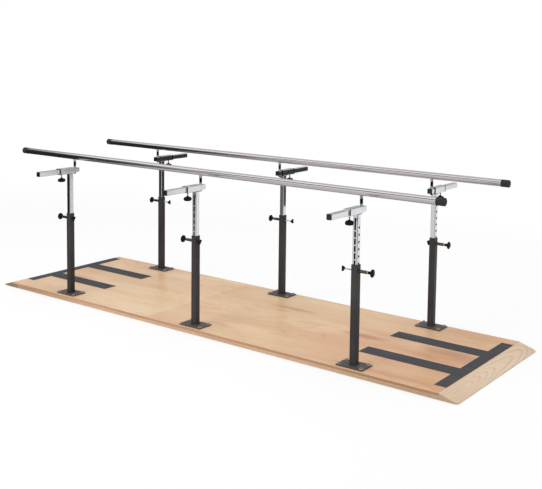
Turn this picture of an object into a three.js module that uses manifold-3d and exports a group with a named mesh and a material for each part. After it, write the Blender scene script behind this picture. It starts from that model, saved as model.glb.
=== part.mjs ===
// Rehab walking parallel bars on a plywood platform, in millimetres, with +Z up.
// X runs along the handrails, -Y is the near side, and the origin is under the middle of the platform.
import * as THREE from 'three';
import { mergeVertices } from 'three/addons/utils/BufferGeometryUtils.js';
import Module from 'manifold-3d';

const wasm = await Module();
wasm.setup();

// Clearances
const seatGap = 0.3; // faces that rest on each other, such as a plate on the deck
const slideClearance = 0.7; // each side of a square tube that slides in another
const screwClearance = 0.3; // round a screw, stud or pin in its hole
const tipGap = 0.4; // between the tip of a screw or pin and the tube that it meets
const overrun = 1; // how far a joined or cutting solid runs past the face that it meets
const mergeDistance = 0.0001; // points closer than this are one point

// Platform
const deckLength = 3096;
const deckWidth = 950;
const sheetThickness = 12.5; // top sheet
const baseThickness = 20.8; // plywood under it
const rampRun = 98; // from the end of the deck to the toe
const rampTongue = 45; // reach of the ramp block under the top sheet
const toeHeight = 3.5;
const toeRadius = 20;

// Grip tape
const tapeThickness = 0.9;
const stripWidth = 100; // the two lengthwise strips
const stripCentre = 164; // from the middle of the walkway to the middle of a lengthwise strip
const stripReach = 592; // from the end of the deck to the inner tip of a lengthwise strip
const crossWidth = 64;
const crossMargin = 82; // from each side of the deck to the strip across it
const crossInset = 1; // from the end of the deck to the strip across it
const leftCrossShift = 34; // the strip across the left end lies further from the viewer

// Where the posts and rails stand
const postEndInset = 496; // from the end of the deck to the middle of an outer post
const postInset = 65; // from the side of the deck to the middle of a post
const railOverhang = 39; // from the middle of a post in to its handrail
const railShift = -21; // the handrails sit a little towards the left end

// Post: a square tube welded to a base plate, with a lock pin barrel and a clamp nut
const postOuter = 36;
const postWall = 3;
const postHeight = 512; // above the deck
const plateLength = 155;
const plateWidth = 103;
const plateThickness = 6;
const boltSpacingX = 130;
const boltSpacingY = 76;
const boltHoleRadius = 4.5;
const pinDrop = 31.5; // from the top of the post down to the pin and the clamp

// Lock pin and its barrel
const pinRadius = 4;
const pinStroke = 7;
const pinTipChamfer = 1;
const barrelRadius = 8.5;
const barrelLength = 46;
const chamberRadius = 6.3; // spring room inside the barrel
const lipLength = 6; // the closed outer end of the barrel
const shoulderThickness = 3;
const shoulderClearance = 0.4;
const springClearance = 0.4;
const springWire = 1.5;
const bushLength = 7; // brass bush that stands out of the barrel
const bushRadius = 6.6; // of the socket in the knob that slips over the bush

// Pull knob on the lock pin
const pullNeckRadius = 8;
const pullNeckLength = 12;
const pullFlareLength = 9;
const pullKnobRadius = 20.5;
const pullRimThickness = 4.5;
const pullDomeHeight = 4.5;
const pullCrownShare = 0.8; // of the knob's radius, halfway up the dome

// Height clamp: a screw with a small three lobed knob, opposite the lock pin
const clampNutRadius = 7.5;
const clampNutLength = 3;
const clampScrewRadius = 3;
const clampHubRadius = 6.5;
const clampHubLength = 4;
const clampHeadRadius = 14.5;
const clampHeadThickness = 8.5;
const clampHeadRounding = 1.6;
const clampDipShare = 0.42; // depth of the hollows between the lobes, of the radius
const clampStandLoose = 47; // from the face of the post to the hub of a backed off clamp
const clampStandTight = 3.6; // and of one that is screwed in

// Mast: a smaller square tube that carries the width sleeve across its top
const mastOuter = postOuter - 2 * postWall - 2 * slideClearance;
const mastWall = 2.5;
const mastExposure = 251; // from the top of the post to the sleeve
const mastLength = 495;
const holePitch = 36;
const holeRadius = 4.4;
const holesAbovePin = 6;
const holesBelowPin = 5;

// Width sleeve and its star knob
const sleeveOuter = 37;
const sleeveWall = 3.5;
const sleeveReachOut = 86; // from the mast's centre towards the outside
const sleeveReachIn = 25.5; // and towards the walkway
const starPlace = 68; // from the mast's centre out to the star knob
const starScrewRadius = 4;
const starStem = 20; // bare screw under the sleeve
const starHubRadius = 9.5;
const starHubLength = 5;
const starHeadRadius = 24;
const starHeadThickness = 21;
const starHeadRounding = 4;
const starDipShare = 0.16;

// Arm: slides in the sleeve and carries the handrail
const armOuter = sleeveOuter - 2 * sleeveWall - 2 * slideClearance;
const armWall = 2.5;
const armReachOut = 249; // from the mast's centre towards the outside
const armReachIn = 63.5; // and towards the walkway

// Handrail, its end caps and the studs that carry it
const railRadius = 19.05;
const railWall = 1.8;
const railLength = 3042;
const capWall = 0.9;
const capDepth = 39; // grip of the cap on the rail
const capEnd = 3;
const capRounding = 1.8;
const studStand = 51.5; // from the arm to the underside of the rail
const studRadius = 4.5;
const domeNutRadius = 7.5;
const domeNutLength = 11;
const lowerNutRadius = 9;
const lowerNutLength = 12.5;
const spacerRadius = 7.8;
const spacerLength = 25;
const upperNutRadius = 8.4;

// Facets
const holeFacets = 8;
const screwFacets = 8;
const knobFacets = 12;
const barrelFacets = 12;
const railFacets = 24;
const cornerFacets = 5;
const starLobes = 6;
const starOutlinePoints = 24;
const clampLobes = 3;
const clampOutlinePoints = 18;

// Heights and places that follow from the sizes above
const deckHalf = deckLength / 2;
const widthHalf = deckWidth / 2;
const postSpacing = deckHalf - postEndInset; // from one post of a side to the next
const postOffset = widthHalf - postInset; // from the middle of the walkway to a post
const railOffset = postOffset - railOverhang;
const crossLength = deckWidth - 2 * crossMargin;
const sheetBottom = baseThickness + seatGap;
const deckTop = sheetBottom + sheetThickness;
const postHalf = postOuter / 2;
const mastHalf = mastOuter / 2;
const sleeveHalf = sleeveOuter / 2;
const armHalf = armOuter / 2;
const pinHeight = postHeight - pinDrop;
const sleeveBottom = postHeight + mastExposure;
const sleeveCentre = sleeveBottom + sleeveHalf;
const armTop = sleeveCentre + armHalf;
const armBottom = sleeveCentre - armHalf;
const railHeight = armTop + studStand + railRadius;
const barrelEnd = postHalf + barrelLength;

// Which way each post's lock pin points along X, and which clamps are backed off
const stations = [
  { name: 'left', place: -postSpacing, pinSide: -1 },
  { name: 'middle', place: 0, pinSide: -1 },
  { name: 'right', place: postSpacing, pinSide: 1 },
];
const sides = [
  { name: 'near', across: -1, looseClamps: ['right'] },
  { name: 'far', across: 1, looseClamps: ['left', 'middle'] },
];

// Colours and finishes
function finish(color, roughness, metalness) {
  return new THREE.MeshStandardMaterial({ color, roughness, metalness });
}
const finishes = {
  sheet: finish(0xdcb48c, 0.45, 0),
  plywood: finish(0xb98a63, 0.6, 0),
  ramp: finish(0xe3c79c, 0.5, 0),
  tape: finish(0x3b3d43, 0.95, 0),
  post: finish(0x4a4648, 0.5, 0.3),
  bright: finish(0xd9d8dc, 0.25, 0.9),
  rail: finish(0xd6d3d6, 0.12, 1),
  black: finish(0x1c1d20, 0.4, 0),
  steel: finish(0xb9c0c8, 0.3, 0.9),
  spring: finish(0x9aa0a6, 0.35, 0.9),
};

// Turns a closed geometry into a solid that can be joined and cut
function solid(geometry) {
  const bare = geometry.clone();
  bare.deleteAttribute('normal');
  bare.deleteAttribute('uv');
  const merged = mergeVertices(bare, mergeDistance);
  const points = merged.getAttribute('position').array;
  const corners = merged.getIndex().array;
  const kept = [];
  for (let i = 0; i < corners.length; i += 3) {
    const [a, b, c] = [corners[i], corners[i + 1], corners[i + 2]];
    if (a !== b && b !== c && c !== a) kept.push(a, b, c);
  }
  if (signedVolume(points, kept) < 0) kept.reverse();
  return new wasm.Manifold(
    new wasm.Mesh({
      numProp: 3,
      vertProperties: new Float32Array(points),
      triVerts: new Uint32Array(kept),
    }),
  );
}

// Six times the volume inside a closed mesh, negative where its faces point in
function signedVolume(points, corners) {
  const corner = [new THREE.Vector3(), new THREE.Vector3(), new THREE.Vector3()];
  let sum = 0;
  for (let i = 0; i < corners.length; i += 3) {
    corner.forEach((v, k) => v.fromArray(points, corners[i + k] * 3));
    sum += corner[0].dot(corner[1].cross(corner[2]));
  }
  return sum;
}

// Turns a joined or cut solid back into a geometry
function geometryOf(body) {
  const mesh = body.getMesh();
  const geometry = new THREE.BufferGeometry();
  geometry.setAttribute('position', new THREE.BufferAttribute(mesh.vertProperties.slice(), 3));
  geometry.setIndex(new THREE.BufferAttribute(mesh.triVerts.slice(), 1));
  geometry.computeVertexNormals();
  return geometry;
}

// A rectangular block between two corners
function block(low, high) {
  const size = new THREE.Vector3().subVectors(high, low);
  const geometry = new THREE.BoxGeometry(size.x, size.y, size.z);
  const centre = new THREE.Vector3().addVectors(low, high).multiplyScalar(0.5);
  geometry.translate(centre.x, centre.y, centre.z);
  return geometry;
}

function corner(x, y, z) {
  return new THREE.Vector3(x, y, z);
}

// A shape drawn as points, with any holes drawn the same way
function outline(points, holes = []) {
  const shape = new THREE.Shape(points.map(([x, y]) => new THREE.Vector2(x, y)));
  for (const hole of holes) {
    shape.holes.push(new THREE.Path(hole.map(([x, y]) => new THREE.Vector2(x, y))));
  }
  return shape;
}

function squarePoints(half) {
  return [
    [-half, -half],
    [half, -half],
    [half, half],
    [-half, half],
  ];
}

// A square tube that runs up Z from bottom to top
function squareTube(half, wall, bottom, top) {
  const shape = outline(squarePoints(half), [squarePoints(half - wall)]);
  const geometry = new THREE.ExtrudeGeometry(shape, {
    depth: top - bottom,
    bevelEnabled: false,
  });
  geometry.translate(0, 0, bottom);
  return geometry;
}

// The same tube laid along Y, from one end to the other, at the given height
function squareTubeAlongY(half, wall, start, end, height) {
  const geometry = squareTube(half, wall, start, end);
  geometry.rotateX(-Math.PI / 2);
  geometry.translate(0, 0, height);
  return geometry;
}

// A turned solid, drawn as pairs of distance along its axis and radius, with the axis along Z
function turned(profile, facets) {
  const points = profile.map(([along, radius]) => new THREE.Vector2(radius, along));
  const geometry = new THREE.LatheGeometry(points, facets);
  geometry.rotateX(Math.PI / 2);
  return geometry;
}

// The same solid with its axis along +X or, on side -1, along -X
function turnedAlongX(profile, facets, side = 1) {
  const geometry = turned(profile, facets);
  geometry.rotateY((side * Math.PI) / 2);
  return geometry;
}

// The corner radius that keeps a faceted hole's flats at the given radius
function clearOf(radius, facets) {
  return radius / Math.cos(Math.PI / facets);
}

// A plain round bar on the Z axis
function bar(start, end, radius, facets) {
  return turned(
    [
      [start, 0],
      [start, radius],
      [end, radius],
      [end, 0],
    ],
    facets,
  );
}

// A round bar along X
function barAlongX(start, end, radius, facets) {
  return turnedAlongX(
    [
      [start, 0],
      [start, radius],
      [end, radius],
      [end, 0],
    ],
    facets,
  );
}

// A lobed knob head standing on the XY plane, with rounded edges
function lobedHead(radius, thickness, rounding, lobes, outlinePoints, dipShare) {
  const reach = radius - rounding;
  const points = [];
  for (let i = 0; i < outlinePoints; i += 1) {
    const angle = (2 * Math.PI * i) / outlinePoints;
    const dip = (dipShare * (1 - Math.cos(lobes * angle))) / 2;
    const r = reach * (1 - dip);
    points.push([r * Math.cos(angle), r * Math.sin(angle)]);
  }
  const geometry = new THREE.ExtrudeGeometry(outline(points), {
    depth: thickness - 2 * rounding,
    bevelThickness: rounding,
    bevelSize: rounding,
    bevelSegments: 1,
  });
  geometry.translate(0, 0, rounding);
  return geometry;
}

// Platform pieces
function deckPanel() {
  return block(corner(-deckHalf, -widthHalf, sheetBottom), corner(deckHalf, widthHalf, deckTop));
}

function basePanel() {
  const end = deckHalf - rampTongue - seatGap;
  return block(corner(-end, -widthHalf, 0), corner(end, widthHalf, baseThickness));
}

// The ramp block of one end: a slope, and a tongue that reaches under the top sheet
function ramp(side) {
  const shape = outline([
    [deckHalf - rampTongue, 0],
    [deckHalf + rampRun, 0],
    [deckHalf + rampRun, toeHeight],
    [deckHalf + seatGap, deckTop],
    [deckHalf + seatGap, baseThickness],
    [deckHalf - rampTongue, baseThickness],
  ]);
  const wedge = new THREE.ExtrudeGeometry(shape, { depth: deckWidth, bevelEnabled: false });
  wedge.rotateX(Math.PI / 2);
  wedge.translate(0, widthHalf, 0);
  const plan = new THREE.ExtrudeGeometry(roundedToe(), {
    depth: deckTop + 2 * overrun,
    bevelEnabled: false,
    curveSegments: cornerFacets,
  });
  plan.translate(0, 0, -overrun);
  const geometry = geometryOf(solid(wedge).intersect(solid(plan)));
  if (side < 0) geometry.rotateZ(Math.PI);
  return geometry;
}

// The ramp seen from above, with its two toe corners rounded
function roundedToe() {
  const back = deckHalf - rampTongue - overrun;
  const toe = deckHalf + rampRun;
  const shape = new THREE.Shape();
  shape.moveTo(back, -widthHalf);
  shape.lineTo(toe - toeRadius, -widthHalf);
  shape.absarc(toe - toeRadius, -widthHalf + toeRadius, toeRadius, -Math.PI / 2, 0);
  shape.lineTo(toe, widthHalf - toeRadius);
  shape.absarc(toe - toeRadius, widthHalf - toeRadius, toeRadius, 0, Math.PI / 2);
  shape.lineTo(back, widthHalf);
  return shape;
}

// Grip tape of one end: a strip across the deck and two lengthwise strips joined to it
function gripTape(side, crossShift) {
  const outer = deckHalf - crossInset;
  const inner = outer - crossWidth;
  const tip = deckHalf - stripReach;
  const low = crossShift - crossLength / 2;
  const high = crossShift + crossLength / 2;
  const stripHalf = stripWidth / 2;
  const points = [
    [outer, low],
    [outer, high],
    [inner, high],
    [inner, stripCentre + stripHalf],
    [tip, stripCentre + stripHalf],
    [tip, stripCentre - stripHalf],
    [inner, stripCentre - stripHalf],
    [inner, -stripCentre + stripHalf],
    [tip, -stripCentre + stripHalf],
    [tip, -stripCentre - stripHalf],
    [inner, -stripCentre - stripHalf],
    [inner, low],
  ].map(([x, y]) => [side * x, y]);
  const geometry = new THREE.ExtrudeGeometry(outline(points), {
    depth: tapeThickness,
    bevelEnabled: false,
  });
  geometry.translate(0, 0, deckTop + seatGap);
  return geometryOf(solid(geometry));
}

// Post weldment, standing on the deck at height zero, with its lock pin towards the given side
function post(pinSide) {
  const plateTop = seatGap + plateThickness;
  const halfX = plateLength / 2;
  const halfY = plateWidth / 2;
  let body = solid(block(corner(-halfX, -halfY, seatGap), corner(halfX, halfY, plateTop)));
  body = body.add(solid(squareTube(postHalf, postWall, plateTop - overrun, postHeight)));
  for (const x of [-boltSpacingX / 2, boltSpacingX / 2]) {
    for (const y of [-boltSpacingY / 2, boltSpacingY / 2]) {
      const hole = bar(seatGap - overrun, plateTop + overrun, boltHoleRadius, holeFacets);
      hole.translate(x, y, 0);
      body = body.subtract(solid(hole));
    }
  }
  const bore = postHalf - postWall;
  const pinHole = clearOf(pinRadius + screwClearance, knobFacets);
  const chamber = clearOf(chamberRadius, knobFacets);
  const barrelBar = barAlongX(postHalf - overrun, barrelEnd, barrelRadius, barrelFacets);
  const nutBar = barAlongX(
    postHalf - overrun,
    postHalf + clampNutLength,
    clampNutRadius,
    barrelFacets,
  );
  const pinBore = turnedAlongX(
    [
      [bore - overrun, 0],
      [bore - overrun, pinHole],
      [postHalf, pinHole],
      [postHalf, chamber],
      [barrelEnd - lipLength, chamber],
      [barrelEnd - lipLength, pinHole],
      [barrelEnd + overrun, pinHole],
      [barrelEnd + overrun, 0],
    ],
    knobFacets,
  );
  const nutBore = barAlongX(
    bore - overrun,
    postHalf + clampNutLength + overrun,
    clearOf(clampScrewRadius + screwClearance, screwFacets),
    screwFacets,
  );
  for (const [shape, side] of [
    [barrelBar, pinSide],
    [nutBar, -pinSide],
  ]) {
    body = body.add(solid(onPostSide(shape, side)));
  }
  for (const [shape, side] of [
    [pinBore, pinSide],
    [nutBore, -pinSide],
  ]) {
    body = body.subtract(solid(onPostSide(shape, side)));
  }
  return geometryOf(body);
}

// Moves a shape drawn along +X to the pin's height, on one side of the post
function onPostSide(geometry, side) {
  if (side < 0) geometry.rotateZ(Math.PI);
  geometry.translate(0, 0, pinHeight);
  return geometry;
}

// Lock pin with its pull knob, drawn pulled clear of the mast
function lockPin(pinSide) {
  const tip = mastHalf + tipGap;
  const shoulder = postHalf + pinStroke + seatGap;
  const shoulderRadius = chamberRadius - shoulderClearance;
  const neck = barrelEnd + bushLength + seatGap;
  const socketEnd = neck + pinStroke;
  const flare = neck + pullNeckLength;
  const rim = flare + pullFlareLength;
  const face = rim + pullRimThickness;
  const top = face + pullDomeHeight;
  const profile = [
    [tip, 0],
    [tip, pinRadius - pinTipChamfer],
    [tip + pinTipChamfer, pinRadius],
    [shoulder, pinRadius],
    [shoulder, shoulderRadius],
    [shoulder + shoulderThickness, shoulderRadius],
    [shoulder + shoulderThickness, pinRadius],
    [socketEnd, pinRadius],
    [socketEnd, bushRadius],
    [neck, bushRadius],
    [neck, pullNeckRadius],
    [flare, pullNeckRadius],
    [rim, pullKnobRadius],
    [face, pullKnobRadius],
    [face + pullDomeHeight / 2, pullKnobRadius * pullCrownShare],
    [top, 0],
  ];
  return geometryOf(solid(onPostSide(turnedAlongX(profile, knobFacets), pinSide)));
}

// The coil spring round the lock pin, as the plain sleeve of space that it fills
function lockSpring(pinSide) {
  const start = postHalf + pinStroke + shoulderThickness + 2 * seatGap;
  const end = barrelEnd - lipLength - seatGap;
  const outer = chamberRadius - springClearance;
  const inner = clearOf(outer - springWire, knobFacets);
  const ring = [
    [start, inner],
    [start, outer],
    [end, outer],
    [end, inner],
    [start, inner],
  ];
  return geometryOf(solid(onPostSide(turnedAlongX(ring, knobFacets), pinSide)));
}

// Height clamp screw with its three lobed knob
function heightClamp(pinSide, stand) {
  const tip = mastHalf + tipGap;
  const hub = postHalf + stand;
  const head = hub + clampHubLength;
  const stem = turnedAlongX(
    [
      [tip, 0],
      [tip, clampScrewRadius],
      [hub, clampScrewRadius],
      [hub, clampHubRadius],
      [head + overrun, clampHubRadius],
      [head + overrun, 0],
    ],
    screwFacets,
  );
  const knob = lobedHead(
    clampHeadRadius,
    clampHeadThickness,
    clampHeadRounding,
    clampLobes,
    clampOutlinePoints,
    clampDipShare,
  );
  knob.rotateY(Math.PI / 2);
  knob.translate(head, 0, 0);
  const whole = geometryOf(solid(stem).add(solid(knob)));
  return onPostSide(whole, -pinSide);
}

// Mast weldment: the square tube with its row of holes, and the width sleeve across its top
function mast(pinSide) {
  const bottom = sleeveBottom - mastLength;
  const tube = solid(squareTube(mastHalf, mastWall, bottom, sleeveBottom + overrun));
  const sleeve = solid(
    squareTubeAlongY(sleeveHalf, sleeveWall, -sleeveReachOut, sleeveReachIn, sleeveCentre),
  );
  let body = tube.add(sleeve);
  for (let i = -holesBelowPin; i <= holesAbovePin; i += 1) {
    const hole = barAlongX(
      mastHalf - mastWall - overrun,
      mastHalf + overrun,
      holeRadius,
      holeFacets,
    );
    body = body.subtract(solid(onPostSide(hole, pinSide).translate(0, 0, i * holePitch)));
  }
  const screwHole = bar(
    sleeveBottom - overrun,
    sleeveBottom + sleeveWall + overrun,
    clearOf(starScrewRadius + screwClearance, screwFacets),
    screwFacets,
  );
  screwHole.translate(0, -starPlace, 0);
  return geometryOf(body.subtract(solid(screwHole)));
}

// Star knob whose screw clamps the arm in the sleeve
function widthKnob() {
  const tip = armBottom - tipGap;
  const hub = sleeveBottom - starStem;
  const headTop = hub - starHubLength;
  const stem = turned(
    [
      [tip, 0],
      [tip, starScrewRadius],
      [hub, starScrewRadius],
      [hub, starHubRadius],
      [headTop - overrun, starHubRadius],
      [headTop - overrun, 0],
    ],
    screwFacets,
  );
  const head = lobedHead(
    starHeadRadius,
    starHeadThickness,
    starHeadRounding,
    starLobes,
    starOutlinePoints,
    starDipShare,
  );
  head.translate(0, 0, headTop - starHeadThickness);
  const whole = geometryOf(solid(stem).add(solid(head)));
  whole.translate(0, -starPlace, 0);
  return whole;
}

// Arm: the square tube with the hole for the rail stud
function arm() {
  const tube = solid(
    squareTubeAlongY(armHalf, armWall, -armReachOut, armReachIn, sleeveCentre),
  );
  const hole = bar(
    armBottom - overrun,
    armTop + overrun,
    clearOf(studRadius + screwClearance, knobFacets),
    knobFacets,
  );
  hole.translate(0, railOverhang, 0);
  return geometryOf(tube.subtract(solid(hole)));
}

// Rail stud: dome nut, shank, lower nut, spacer and the upper nut that is shaped to the rail
function railStud() {
  const domeBottom = armBottom - seatGap - domeNutLength;
  const domeShoulder = armBottom - seatGap - domeNutLength / 2;
  const nutTop = armTop + seatGap + lowerNutLength;
  const spacerTop = nutTop + spacerLength;
  const top = railHeight;
  const body = solid(
    turned(
      [
        [domeBottom, 0],
        [domeBottom, domeNutRadius / 2],
        [domeShoulder, domeNutRadius],
        [armBottom - seatGap, domeNutRadius],
        [armBottom - seatGap, studRadius],
        [armTop + seatGap, studRadius],
        [armTop + seatGap, lowerNutRadius],
        [nutTop, lowerNutRadius],
        [nutTop, spacerRadius],
        [spacerTop, spacerRadius],
        [spacerTop, upperNutRadius],
        [top, upperNutRadius],
        [top, 0],
      ],
      knobFacets,
    ),
  );
  const reach = 2 * upperNutRadius;
  const rail = barAlongX(-reach, reach, clearOf(railRadius + seatGap, railFacets), railFacets);
  rail.translate(0, 0, railHeight);
  const geometry = geometryOf(body.subtract(solid(rail)));
  geometry.translate(0, railOverhang, 0);
  return geometry;
}

// Handrail: a round tube
function handrail() {
  const inner = railRadius - railWall;
  const half = railLength / 2;
  const ring = [
    [-half, inner],
    [-half, railRadius],
    [half, railRadius],
    [half, inner],
    [-half, inner],
  ];
  return geometryOf(solid(turnedAlongX(ring, railFacets)));
}

// Slip-over end cap of a handrail, for the end on the given side
function railCap(side) {
  const bore = clearOf(railRadius + seatGap, railFacets);
  const outer = bore + capWall;
  const mouth = railLength / 2 - capDepth;
  const floor = railLength / 2 + seatGap;
  const end = floor + capEnd;
  const profile = [
    [floor, 0],
    [floor, bore],
    [mouth, bore],
    [mouth, outer],
    [end - capRounding, outer],
    [end, outer - capRounding],
    [end, 0],
  ];
  return geometryOf(solid(turnedAlongX(profile, railFacets, side)));
}

// A named mesh for the assembly
function piece(name, geometry, material) {
  const mesh = new THREE.Mesh(geometry, material);
  mesh.name = name;
  return mesh;
}

// Everything at one post, in a group that stands on the deck with the outside towards -Y
function postGroup(station, side) {
  const tag = `${side.name}_${station.name}`;
  const group = new THREE.Group();
  const facesAway = side.across > 0;
  const pinSide = facesAway ? -station.pinSide : station.pinSide;
  const loose = side.looseClamps.includes(station.name);
  group.position.set(station.place, side.across * postOffset, deckTop);
  if (facesAway) group.rotation.z = Math.PI;
  group.add(
    piece(`post_${tag}`, post(pinSide), finishes.post),
    piece(`mast_${tag}`, mast(pinSide), finishes.bright),
    piece(`arm_${tag}`, arm(), finishes.bright),
    piece(`rail_stud_${tag}`, railStud(), finishes.steel),
    piece(`lock_pin_${tag}`, lockPin(pinSide), finishes.black),
    piece(`lock_spring_${tag}`, lockSpring(pinSide), finishes.spring),
    piece(
      `height_clamp_${tag}`,
      heightClamp(pinSide, loose ? clampStandLoose : clampStandTight),
      finishes.black,
    ),
    piece(`width_knob_${tag}`, widthKnob(), finishes.black),
  );
  return group;
}

// One handrail with its two caps
function railGroup(side) {
  const group = new THREE.Group();
  group.position.set(railShift, side.across * railOffset, deckTop + railHeight);
  group.add(
    piece(`handrail_${side.name}`, handrail(), finishes.rail),
    piece(`rail_cap_${side.name}_left`, railCap(-1), finishes.black),
    piece(`rail_cap_${side.name}_right`, railCap(1), finishes.black),
  );
  return group;
}

const bars = new THREE.Group();
bars.add(
  piece('deck_panel', deckPanel(), finishes.sheet),
  piece('base_panel', basePanel(), finishes.plywood),
  piece('ramp_left', ramp(-1), finishes.ramp),
  piece('ramp_right', ramp(1), finishes.ramp),
  piece('grip_tape_left', gripTape(-1, leftCrossShift), finishes.tape),
  piece('grip_tape_right', gripTape(1, 0), finishes.tape),
);
for (const side of sides) {
  for (const station of stations) bars.add(postGroup(station, side));
  bars.add(railGroup(side));
}

export default bars;
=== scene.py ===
"""Looks of a set of rehab walking parallel bars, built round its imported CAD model.

Lengths are in metres. X runs along the handrails, -Y is the near side and +Z is up.
"""

from __future__ import annotations

import logging
import math
from dataclasses import dataclass, field
from enum import Enum
from functools import cached_property
from typing import Any, Callable, Iterable, Sequence

import bmesh
import bpy
from mathutils import Matrix, Vector

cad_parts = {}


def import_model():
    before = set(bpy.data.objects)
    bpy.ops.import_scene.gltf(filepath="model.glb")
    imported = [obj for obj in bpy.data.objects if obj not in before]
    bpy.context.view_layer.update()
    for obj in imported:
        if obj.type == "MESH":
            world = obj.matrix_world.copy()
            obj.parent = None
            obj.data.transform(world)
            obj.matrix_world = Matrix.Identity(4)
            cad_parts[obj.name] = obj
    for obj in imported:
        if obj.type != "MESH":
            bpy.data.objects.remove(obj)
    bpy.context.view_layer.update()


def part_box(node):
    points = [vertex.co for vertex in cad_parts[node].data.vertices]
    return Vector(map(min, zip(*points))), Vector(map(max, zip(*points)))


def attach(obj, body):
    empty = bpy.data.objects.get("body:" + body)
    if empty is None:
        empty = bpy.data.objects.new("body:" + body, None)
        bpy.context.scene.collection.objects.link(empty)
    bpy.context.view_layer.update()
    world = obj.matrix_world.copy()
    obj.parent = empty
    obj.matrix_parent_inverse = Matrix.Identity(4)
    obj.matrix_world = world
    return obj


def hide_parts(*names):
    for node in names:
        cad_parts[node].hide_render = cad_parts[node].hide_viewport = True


log = logging.getLogger("walking_bars")

PLATFORM = "platform"
FULL_TURN = 2 * math.pi
QUARTER = math.pi / 2
MERGE_DISTANCE = 1e-6
FLAT_ANGLE = math.radians(0.5)
SMOOTH_ANGLE = math.radians(50)

# Sizes that several pieces share
GAP = 0.0003  # between faces that rest on each other
POST_FACE = 0.018  # from the middle of a post to its face
BARREL_LENGTH = 0.046
BUSH_LENGTH = 0.007
TUBE_WALL = 0.0025  # of the masts and arms
TUBE_CORNER = 0.0032
STAR_PLACE = 0.068  # from the middle of a mast out to its star knob
WELD_OUT = 0.25  # how far out a weld bead's middle lies, as a share of its radius
HEX_DIP = 0.13  # how far a hexagon's flats lie inside its corners, as a share of its radius

Colour = tuple[float, float, float]
Spot = tuple[float, float, float]
Points = Sequence[Sequence[float]]
Profile = list[tuple[float, float]]  # pairs of place along the axis and radius
Rings = list[tuple[float, float, float]]  # for each ring its height, radius and depth of hollows


def srgb(red: int, green: int, blue: int) -> Colour:
    """Turns a colour as seen on screen, in parts of 255, into the linear one that shaders take."""
    shares = (part / 255 for part in (red, green, blue))
    return tuple(s / 12.92 if s <= 0.04045 else ((s + 0.055) / 1.055) ** 2.4 for s in shares)


class Axis(Enum):
    """The way that a piece was drawn, rolled or polished."""

    X = 0
    Y = 1
    Z = 2


class Side(Enum):
    """The two sides of the walkway, with the sign of their Y."""

    NEAR = -1
    FAR = 1


class Place(Enum):
    """The three posts of a side."""

    LEFT = "left"
    MIDDLE = "middle"
    RIGHT = "right"


def maths(operation: str, swapped: bool = False) -> Callable[..., Value]:
    """A method of Value that adds one Math node.

    Args:
        operation: what the node does.
        swapped: whether the other number comes first.

    Returns:
        The method.
    """

    def method(self: Value, other: Any = 0.0) -> Value:
        """The node's result."""
        inputs = {0: other, 1: self} if swapped else {0: self, 1: other}
        return self.graph.node("ShaderNodeMath", inputs, operation=operation)

    return method


class Value:
    """A number socket of a node tree, for writing shader maths as Python."""

    def __init__(self, graph: Graph, socket: bpy.types.NodeSocket | None) -> None:
        """Wraps a socket of the graph."""
        self.graph = graph
        self.socket = socket

    __add__, __radd__ = maths("ADD"), maths("ADD", swapped=True)
    __sub__, __rsub__ = maths("SUBTRACT"), maths("SUBTRACT", swapped=True)
    __mul__, __rmul__ = maths("MULTIPLY"), maths("MULTIPLY", swapped=True)
    __truediv__, __rtruediv__ = maths("DIVIDE"), maths("DIVIDE", swapped=True)
    __pow__ = maths("POWER")
    __mod__ = maths("FLOORED_MODULO")
    __abs__ = maths("ABSOLUTE")
    over = maths("GREATER_THAN")
    most = maths("MAXIMUM")

    def band(self, low: float, high: float) -> Value:
        """Climbs from 0 to 1 while this value goes from low to high."""
        inputs = {0: self, 1: low, 2: high}
        return self.graph.node("ShaderNodeMapRange", inputs, interpolation_type="SMOOTHSTEP")


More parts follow.
